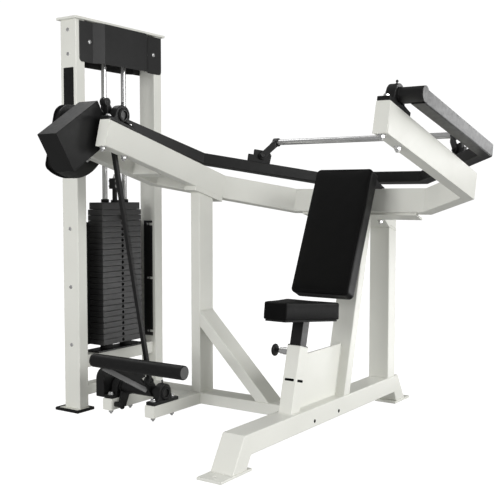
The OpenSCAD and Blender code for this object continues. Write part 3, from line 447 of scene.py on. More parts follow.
def along(points, step):
    """Points at an even step on a line of straight runs."""
    made = []
    for a, b in zip(points, points[1:]):
        count = max(1, round((b - a).length / step))
        made += [a.lerp(b, k / count) for k in range(count)]
    return made + [points[-1].copy()]


def sweep(bm, points, radius, count=8, closed=False, ripple=0.0, period=0.004):
    """A round bead along points, with ripples if asked."""
    rings = []
    side = None
    travelled = 0.0
    total = len(points)
    for k, point in enumerate(points):
        before = points[(k - 1) % total] if closed or k else points[0]
        after = points[(k + 1) % total] if closed or k < total - 1 else points[-1]
        line = (after - before).normalized()
        if side is None:
            side = line.orthogonal().normalized()
        side = (side - side.dot(line) * line).normalized()
        other = line.cross(side)
        if k:
            travelled += (point - points[k - 1]).length
        r = radius * (1 + ripple * math.sin(2 * math.pi * travelled / period))
        rings.append([bm.verts.new(point + r * (math.cos(a) * side + math.sin(a) * other))
                      for a in (2 * math.pi * i / count for i in range(count))])
    skin(bm, rings + rings[:1] if closed else rings)
    if not closed:
        bm.faces.new(rings[0][::-1])
        bm.faces.new(rings[-1])


# Frame, tower and arm: rigid nodes with rounded edges
TUBE_EDGE, PLATE_EDGE = 0.0045, 0.0016
WHITE_TUBES = ("base_rail", "rear_upright", "back_upright", "seat_receiver", "cross_base",
               "pedal_stubs", "centre_upright", "upright_brace", "upper_frame", "outer_beam", "beam_tie",
               "tower_posts", "tower_cross_tubes", "tube_end_caps")
WHITE_PLATES = {"rail_feet": PLATE_EDGE, "tower_cap": 0.003, "tower_feet": 0.0012, "head_beam": 0.003}
BLACK_NODES = {"press_yoke": TUBE_EDGE, "yoke_crank": 0.0015, "bar_brackets": 0.0014, "bar_lugs": 0.0012,
               "yoke_hubs": 0.0004, "link_rod": 0.0018, "pedal_shaft": 0.001, "seat_post": 0.003,
               "pad_brackets": PLATE_EDGE, "pad_board": 0.002, "stack_strip": PLATE_EDGE,
               "pedal_stop": 0.003, "selector_stem": 0.0012, "head_pulley": 0.001}
for node in WHITE_TUBES:
    dress(node, white, TUBE_EDGE, 4)
for node, radius in WHITE_PLATES.items():
    dress(node, white, radius)
for node, radius in BLACK_NODES.items():
    dress(node, black, radius)
dress("counterweight", weight_black, 0.0022)
dress("head_panels", panel_black, 0.0007, 2, small=0, limit=10)
for node in ("lower_weight_plates", "upper_weight_plates", "head_plate"):
    dress(node, weight_grey, 0.0022, 2)
for node in ("pillow_blocks", "pedal_blocks"):
    dress(node, cast_black, 0.0022)
for node in ("guide_rods", "press_bar"):
    dress(node, chrome, 0.0012)
dress("pivot_shafts", dark_steel, 0.0015)
for node in ("stack_bumpers", "guide_collars"):
    dress(node, rubber, 0.003)
dress("selector_pin", plastic, 0.0012)

# Pop pin: a steel plunger with a moulded disc knob, in a turned barrel
PIN = at(RECEIVER, 0, 0, 0.242) @ Matrix.Rotation(math.radians(-90), 4, "Y")
PLUNGER = [(0, 0.0257), (0.0052, 0.0257), (0.0060, 0.0265), (0.0060, 0.090), (0, 0.090)]
KNOB = [(0, 0.0855), (0.0070, 0.0855), (0.0086, 0.0868), (0.0086, 0.0930), (0.0105, 0.0965),
        (0.0180, 0.0990), (0.0232, 0.1008), (0.0252, 0.1032), (0.0257, 0.1058), (0.0248, 0.1086),
        (0.0222, 0.1108), (0.0150, 0.1128), (0.0070, 0.1136), (0, 0.1138)]
BARREL = [(0.0094, 0.0318), (0.0150, 0.0318), (0.0150, 0.0640), (0.0144, 0.0650), (0.0130, 0.0655),
          (0.0130, 0.0790), (0.0124, 0.0800), (0.0094, 0.0800), (0.0094, 0.0318)]
bm = bmesh.new()
turned(bm, PLUNGER, PIN, 40)
steel_faces = len(bm.faces)
turned(bm, KNOB, PIN, 56)
bm.faces.ensure_lookup_table()
for face in bm.faces[:steel_faces]:
    face.material_index = 1
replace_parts(piece(bm, "pop_pin_finished", "pop_pin", plastic, steel), "pop_pin")
bm = bmesh.new()
turned(bm, BARREL, PIN, 48)
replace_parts(piece(bm, "pop_pin_barrel_finished", "frame", chrome), "pop_pin_barrel")

# Gusset plate between the receiver and the back upright, with a level top
GUSSET_FRONT, GUSSET_BACK, GUSSET_HEIGHT, GUSSET_HALF = 0.4749, 0.8162, 0.2188, 0.005
GUSSET_TOP, GUSSET_RUN = RAIL_TOP + GUSSET_HEIGHT, GUSSET_HEIGHT * SLOPE
bm = bmesh.new()
prism(bm, [(GUSSET_FRONT, RAIL_TOP), (GUSSET_BACK, RAIL_TOP), (GUSSET_BACK + GUSSET_RUN, GUSSET_TOP),
           (GUSSET_FRONT + GUSSET_RUN, GUSSET_TOP)], -GUSSET_HALF, GUSSET_HALF, SIDEWAYS, 0.0014)
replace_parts(piece(bm, "gusset_plate_finished", "frame", white), "gusset_plate")

# Flange plates under the U frame, and the neck tube that ends flush with the rear upright
FLANGE_LOW, FLANGE_TOP = -0.118, -0.108
NECK_TOP, NECK_FRONT = -0.063, 1.0901
bm = cad_copy("frame_flanges")
rear_plate = [v for v in bm.verts if v.co.x > -0.5]
bmesh.ops.delete(bm, geom=rear_plate, context="VERTS")
round_edges(bm, PLATE_EDGE, 3)
half_plate = [(0.285, 1.058), (0.277, 1.150), (0.095, 1.150), (TUBE_HALF, 1.3014), (TUBE_HALF, 1.3788)]
prism(bm, half_plate + [(-x, u) for x, u in half_plate[::-1]], FLANGE_LOW, FLANGE_TOP, UPPER, PLATE_EDGE)
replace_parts(piece(bm, "frame_flanges_finished", "frame", white), "frame_flanges")
bm = bmesh.new()
prism(bm, [(NECK_FRONT, FLANGE_TOP), (1.3775, FLANGE_TOP), (1.3656, NECK_TOP), (NECK_FRONT, NECK_TOP)],
      -TUBE_HALF, TUBE_HALF, UPPER @ SIDEWAYS)
round_edges(bm, TUBE_EDGE, 4)
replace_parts(piece(bm, "neck_tube_finished", "frame", white), "neck_tube")

# Cam: two lips and a groove between them
CAM_R, CAM_DROP = 0.204, 0.045
ARC_FROM, ARC_SWEEP, ARC_STEPS = -118, 138, 30
turns = [math.radians(ARC_FROM + ARC_SWEEP * k / ARC_STEPS) for k in range(ARC_STEPS + 1)]
arc = [(CAM_R * math.cos(a), CAM_R * math.sin(a) - CAM_DROP) for a in turns]
CAM = rounded_outline([(-0.065, 0.058), (-0.128, -0.204), *arc, (0.176, 0.058)],
                      [0.060, 0.026] + [0] * len(arc) + [0.018])
CAM_MIDDLE = Vector((0.020, -0.090))
CAM_LAYERS = ((-0.9008, -0.8958, 1), (-0.8998, -0.8618, 0.94), (-0.8658, -0.8608, 1))
bm = bmesh.new()
for low, high, share in CAM_LAYERS:
    outline = [CAM_MIDDLE + (q - CAM_MIDDLE) * share for q in CAM]
    prism(bm, outline, low, high, place(*PIVOT) @ SIDEWAYS, 0.0012)
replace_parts(piece(bm, "drive_cam_finished", "press_arm", black, limit=32), "drive_cam")

# Pedal lever, with the arched drum on the shaft's far end
DRUM_FROM, DRUM_TO = -0.9159, -0.8699
DRUM = rounded_outline([(-0.081, -0.042), (0.081, -0.042), (0.081, 0.084), (-0.081, 0.084)],
                       [0.004, 0.004, 0.046, 0.046])
bm = cad_copy("pedal_lever")
cad_drum = [v for v in bm.verts if v.co.x < -0.8690]
bmesh.ops.delete(bm, geom=cad_drum, context="VERTS")
round_edges(bm, 0.0018, 3)
prism(bm, DRUM, DRUM_FROM, DRUM_TO, PEDAL @ SIDEWAYS, 0.0025)
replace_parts(piece(bm, "pedal_lever_finished", "pedal", black, limit=32), "pedal_lever")

# The pedal's rib, as a deeper bar in light grey paint: a painted highlight standing for the lit edge of the
# black rib
ROLLER_OUT, ROLLER_UP = 0.159, 0.140
RIB_IN, RIB_OUT, RIB_LOW, RIB_TOP = 0.0008, 0.0136, -0.0250, -0.0055
rib_from, rib_to = Vector((-0.820, -0.18185)), Vector((-0.6600, -0.012))
run = (rib_to - rib_from).normalized()
across = Vector((run.y, -run.x))
start, end = rib_from + 0.009 * run, rib_to - 0.012 * run
bm = bmesh.new()
prism(bm, [start + RIB_IN * across, start + RIB_OUT * across, end + RIB_OUT * across, end + RIB_IN * across],
      RIB_LOW, RIB_TOP, PEDAL @ Matrix.Rotation(-math.atan2(ROLLER_UP, ROLLER_OUT), 4, "X"), 0.0012)
piece(bm, "pedal_rib_painted_highlight", "pedal", rib_painted_highlight)

# Pedal roller: a foam sleeve with grey end caps
ROLLER = at(PEDAL, -0.852, -ROLLER_OUT, ROLLER_UP) @ TO_X
SLEEVE = [(0, 0.001), (0.0255, 0.001), (0.0270, 0.0), (0.0284, 0.0009), (0.0295, 0.0034), (0.0297, 0.006),
          (0.0297, 0.496), (0.0295, 0.4986), (0.0284, 0.5011), (0.0270, 0.502), (0.0255, 0.501), (0, 0.501)]
bm = bmesh.new()
turned(bm, SLEEVE, ROLLER, 64)
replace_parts(piece(bm, "pedal_roller_sleeve", "pedal", foam), "pedal_roller")
bm = bmesh.new()
for low, high in ((0.0008, -0.0004), (0.5012, 0.5024)):
    rise = high - low
    turned(bm, [(0, low), (0.0262, low), (0.0262, high), (0.0250, high + rise * 0.5),
                (0.006, high + rise * 0.7), (0, high + rise * 0.7)], ROLLER, 64)
piece(bm, "pedal_roller_caps", "pedal", cap_grey)

# Bearing blocks: their row, their place along it, the grip of their bolts and what turns in them
ARM_HEIGHT, STUB_HEIGHT = 0.108, 0.0508
BLOCKS = [(BEARINGS, x, ARM_HEIGHT, "press_arm") for x in (-BEAM_X, -ARM_X, ARM_X)]
BLOCKS += [(PEDAL, x, STUB_HEIGHT, "pedal") for x in (-ARM_X, -STUB_X)]
AXIS_HEIGHT, FOOT_HEIGHT, BLOCK_TOP, BLOCK_HALF = 0.043, 0.015, 0.040, 0.023
BOLT_OUT, BOLT_R = 0.063, 0.006

# Bearing bolts, nuts and washers
bm = bmesh.new()
for matrix, x, grip, _ in BLOCKS:
    for y in (-BOLT_OUT, BOLT_OUT):
        hex_head(bm, at(matrix, x, y, FOOT_HEIGHT - AXIS_HEIGHT))
        under = at(matrix, x, y, -AXIS_HEIGHT - grip) @ UPSIDE_DOWN
        hex_head(bm, under, h=0.0105)
        stud(bm, under, BOLT_R, start=0.012, end=0.0195)
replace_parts(piece(bm, "bearing_bolts_finished", "frame", chrome, limit=32), "bearing_bolts")

# Grease nipples
NIPPLE = [(0, -0.002), (0.0048, -0.002), (0.0052, -0.0012, 1), (0.0052, 0.0024, 1), (0.0042, 0.0032),
          (0.0030, 0.0036), (0.0028, 0.0068), (0.0040, 0.0082), (0.0047, 0.0105), (0.0044, 0.0128),
          (0.0032, 0.0148), (0.0016, 0.0156), (0.0008, 0.0150), (0, 0.0146)]
bm = bmesh.new()
for matrix, x, _, _ in BLOCKS:
    turned(bm, NIPPLE, at(matrix, x, 0, BLOCK_TOP), 24)
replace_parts(piece(bm, "grease_nipples_finished", "frame", dark_steel), "grease_nipples")

# Bearing inserts: a seal ring in the housing and an inner race on the shaft
SEAL = [(0.0214, -0.001), (0.0214, 0.0002), (0.0240, 0.0002), (0.0246, 0.0009), (0.0268, 0.0009),
        (0.0274, 0.0003), (0.0274, -0.001), (0.0214, -0.001)]
RACE = [(0.0177, -0.001), (0.0177, 0.0007), (0.0182, 0.0012), (0.0206, 0.0012), (0.0211, 0.0007),
        (0.0211, -0.001), (0.0177, -0.001)]
seals = bmesh.new()
races = {"press_arm": bmesh.new(), "pedal": bmesh.new()}
for matrix, x, _, body in BLOCKS:
    for side in (-1, 1):
        face = at(matrix, x + side * BLOCK_HALF, 0, 0) @ Matrix.Rotation(math.radians(90 * side), 4, "Y")
        turned(seals, SEAL, face, 48)
        turned(races[body], RACE, face, 48)
piece(seals, "bearing_seals", "frame", rubber)
for body, race in races.items():
    piece(race, "bearing_races_" + body, body, dark_steel)

# Button bolts on the front post and the head panel
PANEL_FACE, PANEL_BOLT_Z = -1.1014, 1.7188
bm = bmesh.new()
for z in (0.310, 0.582, 0.854, 1.6578, 1.7688):
    button_head(bm, place(TOWER_X, POST_FRONT, z) @ TO_FRONT, 0.0092, 0.0045)
for y in (0.4606, 0.9134):
    button_head(bm, place(PANEL_FACE, y, PANEL_BOLT_Z) @ TO_X, 0.010, 0.005)
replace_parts(piece(bm, "panel_bolts_finished", "frame", chrome, limit=36), "panel_bolts")

# Bare name plate on the front post
NAME_X, NAME_Z, NAME_HALF, NAME_HEIGHT = -1.152, 1.270, 0.032, 0.326
bm = bmesh.new()
prism(bm, [(-NAME_HALF, 0), (NAME_HALF, 0), (NAME_HALF, NAME_HEIGHT), (-NAME_HALF, NAME_HEIGHT)],
      0, 0.0012, place(NAME_X, POST_FRONT, NAME_Z) @ TO_FRONT, radius=0.0004, corner=0.004)
piece(bm, "bare_name_plate", "frame", plastic)

# Rubber edging round the tower feet: how far out and how high each line of its section runs
EDGING = ((0.0018, 0.0), (0.0020, 0.0118), (0.0010, 0.0134), (-0.0050, 0.0134), (-0.0060, 0.0124),
          (-0.0060, 0.0098))
FOOT_LEFT, FOOT_RIGHT, FOOT_DEPTH = -1.2251, -1.0824, 0.1044
bm = bmesh.new()
for front in (0.3386, 0.9120):
    back = front + FOOT_DEPTH
    moulding(bm, [[(FOOT_LEFT - out, front - out, z), (FOOT_RIGHT + out, front - out, z),
                   (FOOT_RIGHT + out, back + out, z), (FOOT_LEFT - out, back + out, z)] for out, z in EDGING])
piece(bm, "tower_foot_edging", "frame", rubber)

# Stack guard: the back sheet and two strips with bolted notches
GUARD_FRONT, GUARD_BACK, GUARD_LOW, GUARD_HIGH = 0.433, 0.919, 0.284, 0.880
GUARD_LEFT, GUARD_RIGHT, GUARD_BOLT_X = -1.17775, -1.12175, -1.152
NOTCHES, NOTCH_X, NOTCH_HALF = (0.308, 0.584, 0.862), -1.142, 0.0065
outline = [(GUARD_LEFT, GUARD_LOW), (GUARD_RIGHT, GUARD_LOW)]
for z in NOTCHES:
    outline += [(GUARD_RIGHT, z - NOTCH_HALF), (NOTCH_X, z - NOTCH_HALF), (NOTCH_X, z + NOTCH_HALF),
                (GUARD_RIGHT, z + NOTCH_HALF)]
outline += [(GUARD_RIGHT, GUARD_HIGH), (GUARD_LEFT, GUARD_HIGH)]
bm = cad_copy("stack_guard")
for y in (GUARD_FRONT, GUARD_BACK):
    cad_strip = [v for v in bm.verts if y - 0.001 < v.co.y < y + 0.004 and v.co.x > -1.19]
    bmesh.ops.delete(bm, geom=cad_strip, context="VERTS")
round_edges(bm, 0.0012, 2)
for y in (GUARD_FRONT, GUARD_BACK):
    prism(bm, outline, -0.003, 0, place(0, y, 0) @ TO_FRONT, radius=0.0005, corner=0.0015)
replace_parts(piece(bm, "stack_guard_finished", "frame", panel_black), "stack_guard")
bm = bmesh.new()
for z in NOTCHES:
    button_head(bm, place(GUARD_BOLT_X, GUARD_BACK, z) @ TO_FRONT, 0.006, 0.0035)
piece(bm, "guard_bolts", "frame", chrome, limit=36)

# Slots in the seat receiver, drawn as thin near-black patches on its faces: the black seat post seen through
# each slot, with painted shade for the dark inside
RECEIVER_HALF, SLOT_Z = 0.03175, 0.1285
SLOT = [(-0.0215, -0.0052), (0.0215, -0.0052), (0.0215, 0.0052), (-0.0215, 0.0052)]
bm = bmesh.new()
prism(bm, SLOT, 0, 0.0003, at(RECEIVER, 0, -RECEIVER_HALF, SLOT_Z) @ TO_FRONT, corner=0.0040)
prism(bm, SLOT, 0, 0.0003, at(RECEIVER, RECEIVER_HALF, 0, SLOT_Z) @ TO_SIDE, corner=0.0040)
piece(bm, "receiver_slots", "frame", hole_black)

# Plastic liner in the receiver's mouth: half width and height of each line of its section
LINER = ((0.0259, 0.2678), (0.0259, 0.2704), (0.0264, 0.2710), (0.0296, 0.2710), (0.0302, 0.2704),
         (0.0302, 0.2678))
bm = bmesh.new()
moulding(bm, [[RECEIVER @ Vector((x * half, y * half, z)) for x, y in ((-1, -1), (1, -1), (1, 1), (-1, 1))]
              for half, z in LINER])
piece(bm, "receiver_liner", "frame", plastic)

# Bolts of the rear flange under the U frame
FLANGE_BOLT_X, FLANGE_BOLT_U = 0.066, 1.1665
bm = bmesh.new()
for x in (-FLANGE_BOLT_X, FLANGE_BOLT_X):
    under = at(UPPER, x, FLANGE_BOLT_U, FLANGE_LOW) @ UPSIDE_DOWN
    hex_head(bm, under, h=0.009)
    stud(bm, under, BOLT_R, start=0.0105, end=0.0165)
piece(bm, "flange_bolts", "frame", chrome, limit=32)

# Bolts that hold the bar's lugs to their brackets: radius, height and washer
LUG_BOLT = (0.0095, 0.0075, 0.0125)
LUG_X, LUG_FRONT, LUG_BACK, LUG_Z = 0.066, 0.0245, 0.0488, 0.037
bm = bmesh.new()
for side, mirror in ((-1, Matrix()), (1, Matrix.Scale(-1, 4, (1, 0, 0)))):
    bracket = at(YOKE, side * 0.5052, 0.797, 0.020) @ mirror @ Matrix.Rotation(math.radians(45), 4, "Z")
    hex_head(bm, at(bracket, LUG_X, LUG_FRONT, LUG_Z) @ TO_FRONT, *LUG_BOLT)
    hex_head(bm, at(bracket, LUG_X, LUG_BACK, LUG_Z) @ TO_FRONT.inverted(), *LUG_BOLT)
piece(bm, "bar_lug_bolts", "press_arm", dark_steel, limit=32)

# Clamp bolts and the end fitting on the selector stem
CLAMP_BOLT = (0.0065, 0.005, 0.0085)
CLAMP_HALF, CLAMP_Y = 0.019, TOWER_Y - 0.010
STEM_END = place(TOWER_X, TOWER_Y, 1.0932)
bm = bmesh.new()
for z in (1.055, 1.080):
    hex_head(bm, place(TOWER_X + CLAMP_HALF, CLAMP_Y, z) @ TO_X, *CLAMP_BOLT)
    hex_head(bm, place(TOWER_X - CLAMP_HALF, CLAMP_Y, z) @ TO_X.inverted(), *CLAMP_BOLT)
hex_head(bm, STEM_END, 0.009, 0.008, 0.011)
stud(bm, STEM_END, 0.0055, start=0.0100, end=0.020)
piece(bm, "stem_clamp_bolts", "lifted_stack", chrome, limit=32)

# Rubber ball at the end of the pedal's stop plate
BALL = [(0, 0.004), (0.007, 0.004), (0.007, 0), (0.0095, -0.003), (0.0112, -0.0075), (0.0108, -0.0125),
        (0.0085, -0.0165), (0.0045, -0.0190), (0, -0.0197)]
bm = bmesh.new()
turned(bm, BALL, place(-0.806, 0.339, 0.079), 32)
piece(bm, "stop_ball", "pedal", rubber)

# Dark plugs in the rail's side holes
PLUG = [(0, -0.002), (0.0048, -0.002), (0.0052, 0.0002), (0.0056, 0.0005), (0.0072, 0.0005),
        (0.0076, 0.0001), (0.0048, -0.0001), (0.0048, -0.004), (0, -0.004)]
PLUG_YS, PLUG_Z = (0.562, 0.769), 0.0835
bm = bmesh.new()
for y in PLUG_YS:
    turned(bm, PLUG, place(TUBE_HALF, y, PLUG_Z) @ TO_X, 32)
piece(bm, "rail_hole_plugs", "frame", hole_black)

# Bushes in the pin holes of the weight plates, of which the upper ones are lifted
BUSH = [(0.0052, -0.004), (0.0052, 0.0003), (0.0056, 0.0007), (0.0078, 0.0007), (0.0082, 0.0002),
        (0.0082, -0.0001), (0.0052, -0.004)]
PLATE_FACE, PLATE_STEP = TOWER_X + 0.0485, 0.0273
STACK_LOW, HOLE_HEIGHT = 0.286, 0.01335
for body, first, last in (("frame", 0, 22), ("lifted_stack", 22, 24)):
    bm = bmesh.new()
    for k in range(first, last):
        turned(bm, BUSH, place(PLATE_FACE, TOWER_Y, STACK_LOW + PLATE_STEP * k + HOLE_HEIGHT) @ TO_X, 24)
    piece(bm, "pin_hole_bushes_" + body, body, hole_black)

# Weld beads where tubes and plates meet: round the receiver, the uprights and the gusset on the rail
WELD_R, WELD_STEP, WELD_RIPPLE = 0.0026, 0.0014, 0.14
GUSSET_SIDES = (GUSSET_HALF, -GUSSET_HALF)
WELDS = [[(-0.0318, 0.4089, RAIL_TOP), (0.0318, 0.4089, RAIL_TOP), (0.0318, 0.4746, RAIL_TOP),
          (-0.0318, 0.4746, RAIL_TOP), (-0.0318, 0.4089, RAIL_TOP)]]
WELDS += [[(-0.0445, y, RAIL_TOP), (0.0445, y, RAIL_TOP)] for y in (0.8165, 0.8691, 1.260, 1.3362)]
WELDS += [[(x, 0.480, RAIL_TOP), (x, 0.813, RAIL_TOP)] for x in GUSSET_SIDES]
WELDS += [[(x, 0.4770, 0.146), (x, 0.4770 + 0.211 * SLOPE, 0.357)] for x in GUSSET_SIDES]
WELDS += [[(x, GUSSET_BACK + 0.008 * SLOPE, 0.146), (x, GUSSET_BACK + 0.211 * SLOPE, 0.349)]
          for x in GUSSET_SIDES]

# Beads on the cross base, its upright, brace and stubs, and up the beam tie's ends
CROSS_FRONT, CROSS_BACK, CROSS_TOP = 0.606, 0.7076, 0.113
WELDS += [[(x, CROSS_FRONT + TUBE_EDGE, z), (x, CROSS_BACK - TUBE_EDGE, z)] for x, z in (
    (-TUBE_HALF, CROSS_TOP), (-0.6251, CROSS_TOP), (-0.5743, CROSS_TOP), (-0.5743, 0.487),
    (-0.5743, 0.4152), (-0.2003, CROSS_TOP), (-0.2721, CROSS_TOP))]
WELDS += [[(x, y, 0.067), (x, y, 0.109)] for x, y in (
    (-TUBE_HALF, CROSS_FRONT), (-TUBE_HALF, CROSS_BACK), (-0.5743, CROSS_FRONT), (-0.6251, CROSS_FRONT),
    (-0.8176, CROSS_FRONT), (-0.8684, CROSS_FRONT))]
WELDS += [[UPPER @ Vector((x, u, n)) for n in (-0.104, -0.004)] for x in (-0.6251, -0.778)
          for u in (0.393, 0.4438)]
bm = bmesh.new()
for run in WELDS:
    sweep(bm, along([Vector(p) for p in run], WELD_STEP), WELD_R, 8, ripple=WELD_RIPPLE)
piece(bm, "weld_beads", "frame", white, limit=180)


# Seat and back pad: stuffed covers, swelled by pressure, with welted seams and a row of stitches
COVER_STEP, CROWN_RINGS, CROWN_RISE = 0.006, 26, 0.012
SWELL_FRAMES, SWELL_CAP = 20, 0.0013
VALLEY_WIDTH, VALLEY_DEPTH = 0.005, 0.0005
WELT_STEP, WELT_SUNK, WELT_R = 0.003, 0.0010, 0.0011
UPRIGHT_POINTS, UPRIGHT_R = 24, 0.0010
STITCH_IN, STITCH_LENGTH, STITCH_RISE, STITCH_R = 0.009, 0.0042, 0.0004, 0.00045

# Inset and level of each ring of a cover, from the base to the shoulder
SIDE = ((0.0030, 0.0), (0.0008, 0.015), (0.0, 0.05), (0.0, 0.20), (0.0, 0.35), (0.0, 0.50), (0.0, 0.65),
        (0.0, 0.80), (0.0, 0.89), (0.0004, 0.930), (0.0013, 0.960), (0.0027, 0.982), (0.0046, 0.995),
        (0.0070, 1.0))


def cover(corners, radius, height):
    """A closed cover in the cushion's own place: base on Z = 0, a crisp shoulder, a slight crown."""
    bm = bmesh.new()
    base = inset_outline(corners, radius, 0)
    counts = [max(1, round((b - a).length / COVER_STEP)) for a, b in zip(base, base[1:] + base[:1])]
    lines = []
    for inset, level in SIDE:
        line = inset_outline(corners, radius, inset)
        lines.append(([a.lerp(b, i / count) for a, b, count in zip(line, line[1:] + line[:1], counts)
                       for i in range(count)], level))
    top = lines[-1][0]
    middle = sum(top, Vector((0, 0))) / len(top)
    for k in range(1, CROWN_RINGS):
        share = 1 - k / CROWN_RINGS
        lines.append(([middle + (p - middle) * share for p in top], 1 + CROWN_RISE * (1 - share ** 2)))
    rings = [[bm.verts.new((*p, height * level)) for p in line] for line, level in lines]
    skin(bm, rings)
    bm.faces.new(rings[0][::-1])
    bm.faces.new(rings[-1])
    return bm


def applied(obj):
    """Gives the object its mesh with the modifiers applied."""
    graph = bpy.context.evaluated_depsgraph_get()
    mesh = bpy.data.meshes.new_from_object(obj.evaluated_get(graph))
    obj.modifiers.clear()
    obj.data = mesh


def point_tree(points):
    tree = KDTree(len(points))
    for k, p in enumerate(points):
        tree.insert(p, k)
    tree.balance()
    return tree


def swell(obj, cap):
    """Blows up an even copy of the cover by cloth pressure, and moves the cover with it up to cap."""
    copy = bpy.data.objects.new(obj.name + "_cloth", obj.data.copy())
    scene.collection.objects.link(copy)
    remesh = copy.modifiers.new("remesh", "REMESH")
    remesh.mode, remesh.voxel_size = "VOXEL", COVER_STEP
    applied(copy)
    rest = [v.co.copy() for v in copy.data.vertices]
    # The base is held
    held = copy.vertex_groups.new(name="held")
    held.add([k for k, p in enumerate(rest) if p.z < 0.005], 1.0, "REPLACE")
    cloth = copy.modifiers.new("cloth", "CLOTH")
    cloth.settings.quality = 4
    cloth.settings.mass = 0.4
    cloth.settings.tension_stiffness = cloth.settings.compression_stiffness = 18
    cloth.settings.bending_stiffness = 2.5
    cloth.settings.use_pressure = True
    cloth.settings.uniform_pressure_force = 4
    cloth.settings.effector_weights.gravity = 0
    cloth.settings.vertex_group_mass = "held"
    cloth.collision_settings.use_collision = False
    cloth.point_cache.frame_start, cloth.point_cache.frame_end = 1, SWELL_FRAMES
    for number in range(1, SWELL_FRAMES + 1):
        scene.frame_set(number)
    applied(copy)
    scene.frame_set(1)
    moves = [v.co - p for v, p in zip(copy.data.vertices, rest)]
    # Each point of the cover follows the eight nearest points of the copy
    near = point_tree(rest)
    for v in obj.data.vertices:
        found = near.find_n(v.co, 8)
        shares = [1 / (distance + 0.002) for _, _, distance in found]
        move = sum((moves[k] * share for (_, k, _), share in zip(found, shares)), Vector()) / sum(shares)
        if move.length > cap:
            move *= cap / move.length
        v.co += move
    bpy.data.objects.remove(copy)


def fit(obj, outline, height):
    """Brings the pad to its outline's width and length and to its height."""
    points = [v.co for v in obj.data.vertices]
    sizes = [(min(p[i] for p in outline), max(p[i] for p in outline)) for i in range(2)] + [(0.0, height)]
    for i, (low, high) in enumerate(sizes):
        least, most = min(p[i] for p in points), max(p[i] for p in points)
        for p in points:
            p[i] = low + (p[i] - least) * (high - low) / (most - least)


def find_seams(obj, outline, middle, height, uprights):
    """The welt round the shoulder, where the top panel meets the side, and the seams up the corners."""
    tree = BVHTree.FromObject(obj, bpy.context.evaluated_depsgraph_get())
    welt = []
    for p in along([Vector((*q, 0)) for q in outline + outline[:1]], WELT_STEP)[:-1]:
        out = Vector(p[:2]) - middle
        start = Vector((*(middle + out * 1.02), height * 1.02))
        toward = Vector((*(middle + out * 0.90), height * 0.86))
        hit = tree.ray_cast(start, (toward - start).normalized())[0]
        if hit:
            welt.append(hit)
    seams = [(welt, True)]
    for corner in uprights:
        p = Vector(corner)
        out = Vector((*(p - middle), 0)).normalized()
        run = []
        for k in range(UPRIGHT_POINTS):
            level = height * (0.06 + 0.84 * k / (UPRIGHT_POINTS - 1))
            hit = tree.ray_cast(Vector((*p, level)) + out * 0.03, -out)[0]
            if hit:
                run.append(hit)
        seams.append((run, False))
    return seams


def press_valleys(obj, seams):
    """Presses a shallow valley beside each seam."""
    near = point_tree([q for run, _ in seams for q in run])
    moves = []
    for v in obj.data.vertices:
        distance = near.find(v.co)[2]
        if distance < VALLEY_WIDTH and v.co.z > 0.002:
            share = (1 - (distance / VALLEY_WIDTH) ** 2) ** 2
            moves.append((v.index, v.normal * (-VALLEY_DEPTH * share)))
    for index, move in moves:
        obj.data.vertices[index].co += move


def find_stitches(obj, welt, middle, height):
    """Stitches on the top panel, just inside the welt, as runs of points."""
    tree = BVHTree.FromPolygons([v.co for v in obj.data.vertices], [p.vertices[:] for p in obj.data.polygons])
    inside = []
    for q in welt:
        flat = Vector(q[:2])
        shift = flat + (middle - flat).normalized() * STITCH_IN
        hit, normal = tree.ray_cast(Vector((*shift, height * 1.2)), Vector((0, 0, -1)))[:2]
        if hit:
            inside.append(hit + normal * 0.0001)
    rise = Vector((0, 0, STITCH_RISE))
    runs = []
    for a, b in zip(inside[0:-1:2], inside[1::2]):
        b = a + (b - a).normalized() * STITCH_LENGTH
        runs.append([a - rise, a.lerp(b, 0.2) + rise * 0.6, a.lerp(b, 0.8) + rise * 0.6, b - rise])
    return runs


def upholster(node, name, body, matrix, corners, corner, height, uprights):
    """A stuffed pad that stands for a CAD cushion, with its welt and stitches."""
    outline = rounded_outline(corners, corner)
    middle = sum(outline, Vector((0, 0))) / len(outline)
    obj = as_object(cover(corners, corner, height), name)
    swell(obj, SWELL_CAP)
    fit(obj, outline, height)
    seams = find_seams(obj, outline, middle, height, uprights)
    press_valleys(obj, seams)
    stitches = find_stitches(obj, seams[0][0], middle, height)
    obj.data.transform(matrix)
    for polygon in obj.data.polygons:
        polygon.use_smooth = True
    obj.data.materials.append(vinyl)
    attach(obj, body)
    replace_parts(obj, node)
    bm = bmesh.new()
    heart = Vector((*middle, height * 0.4))
    for run, closed in seams:
        sunk = [matrix @ (q + (heart - q).normalized() * WELT_SUNK) for q in run]
        sweep(bm, sunk, WELT_R if closed else UPRIGHT_R, 8, closed)
    piece(bm, name + "_welt", body, vinyl, limit=180)
    bm = bmesh.new()
    for run in stitches:
        sweep(bm, [matrix @ q for q in run], STITCH_R, 6)
    piece(bm, name + "_stitches", body, thread, limit=180)


SEAT_CORNERS = [(-0.052, 0), (0.052, 0), (0.131, 0.296), (-0.131, 0.296)]
BOARD_LOW, BOARD_TOP = -0.0130, -0.0050
upholster("seat_cushion", "seat_pad", "seat", at(SEAT, 0, 0, -0.0049), SEAT_CORNERS,
          corner=0.008, height=0.070, uprights=SEAT_CORNERS[:2])
bm = bmesh.new()
prism(bm, inset_outline(SEAT_CORNERS, radius=0.010, distance=0.007), BOARD_LOW, BOARD_TOP, SEAT, 0.0015)
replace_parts(piece(bm, "seat_board_finished", "seat", plastic), "seat_board")
PAD_CORNERS = [(-0.139, -0.010), (0.139, -0.010), (0.139, 0.571), (-0.139, 0.571)]
upholster("back_pad", "back_rest_pad", "frame", at(PAD, 0, 0.060, 0) @ TO_FRONT, PAD_CORNERS,
          corner=0.022, height=0.060, uprights=[])


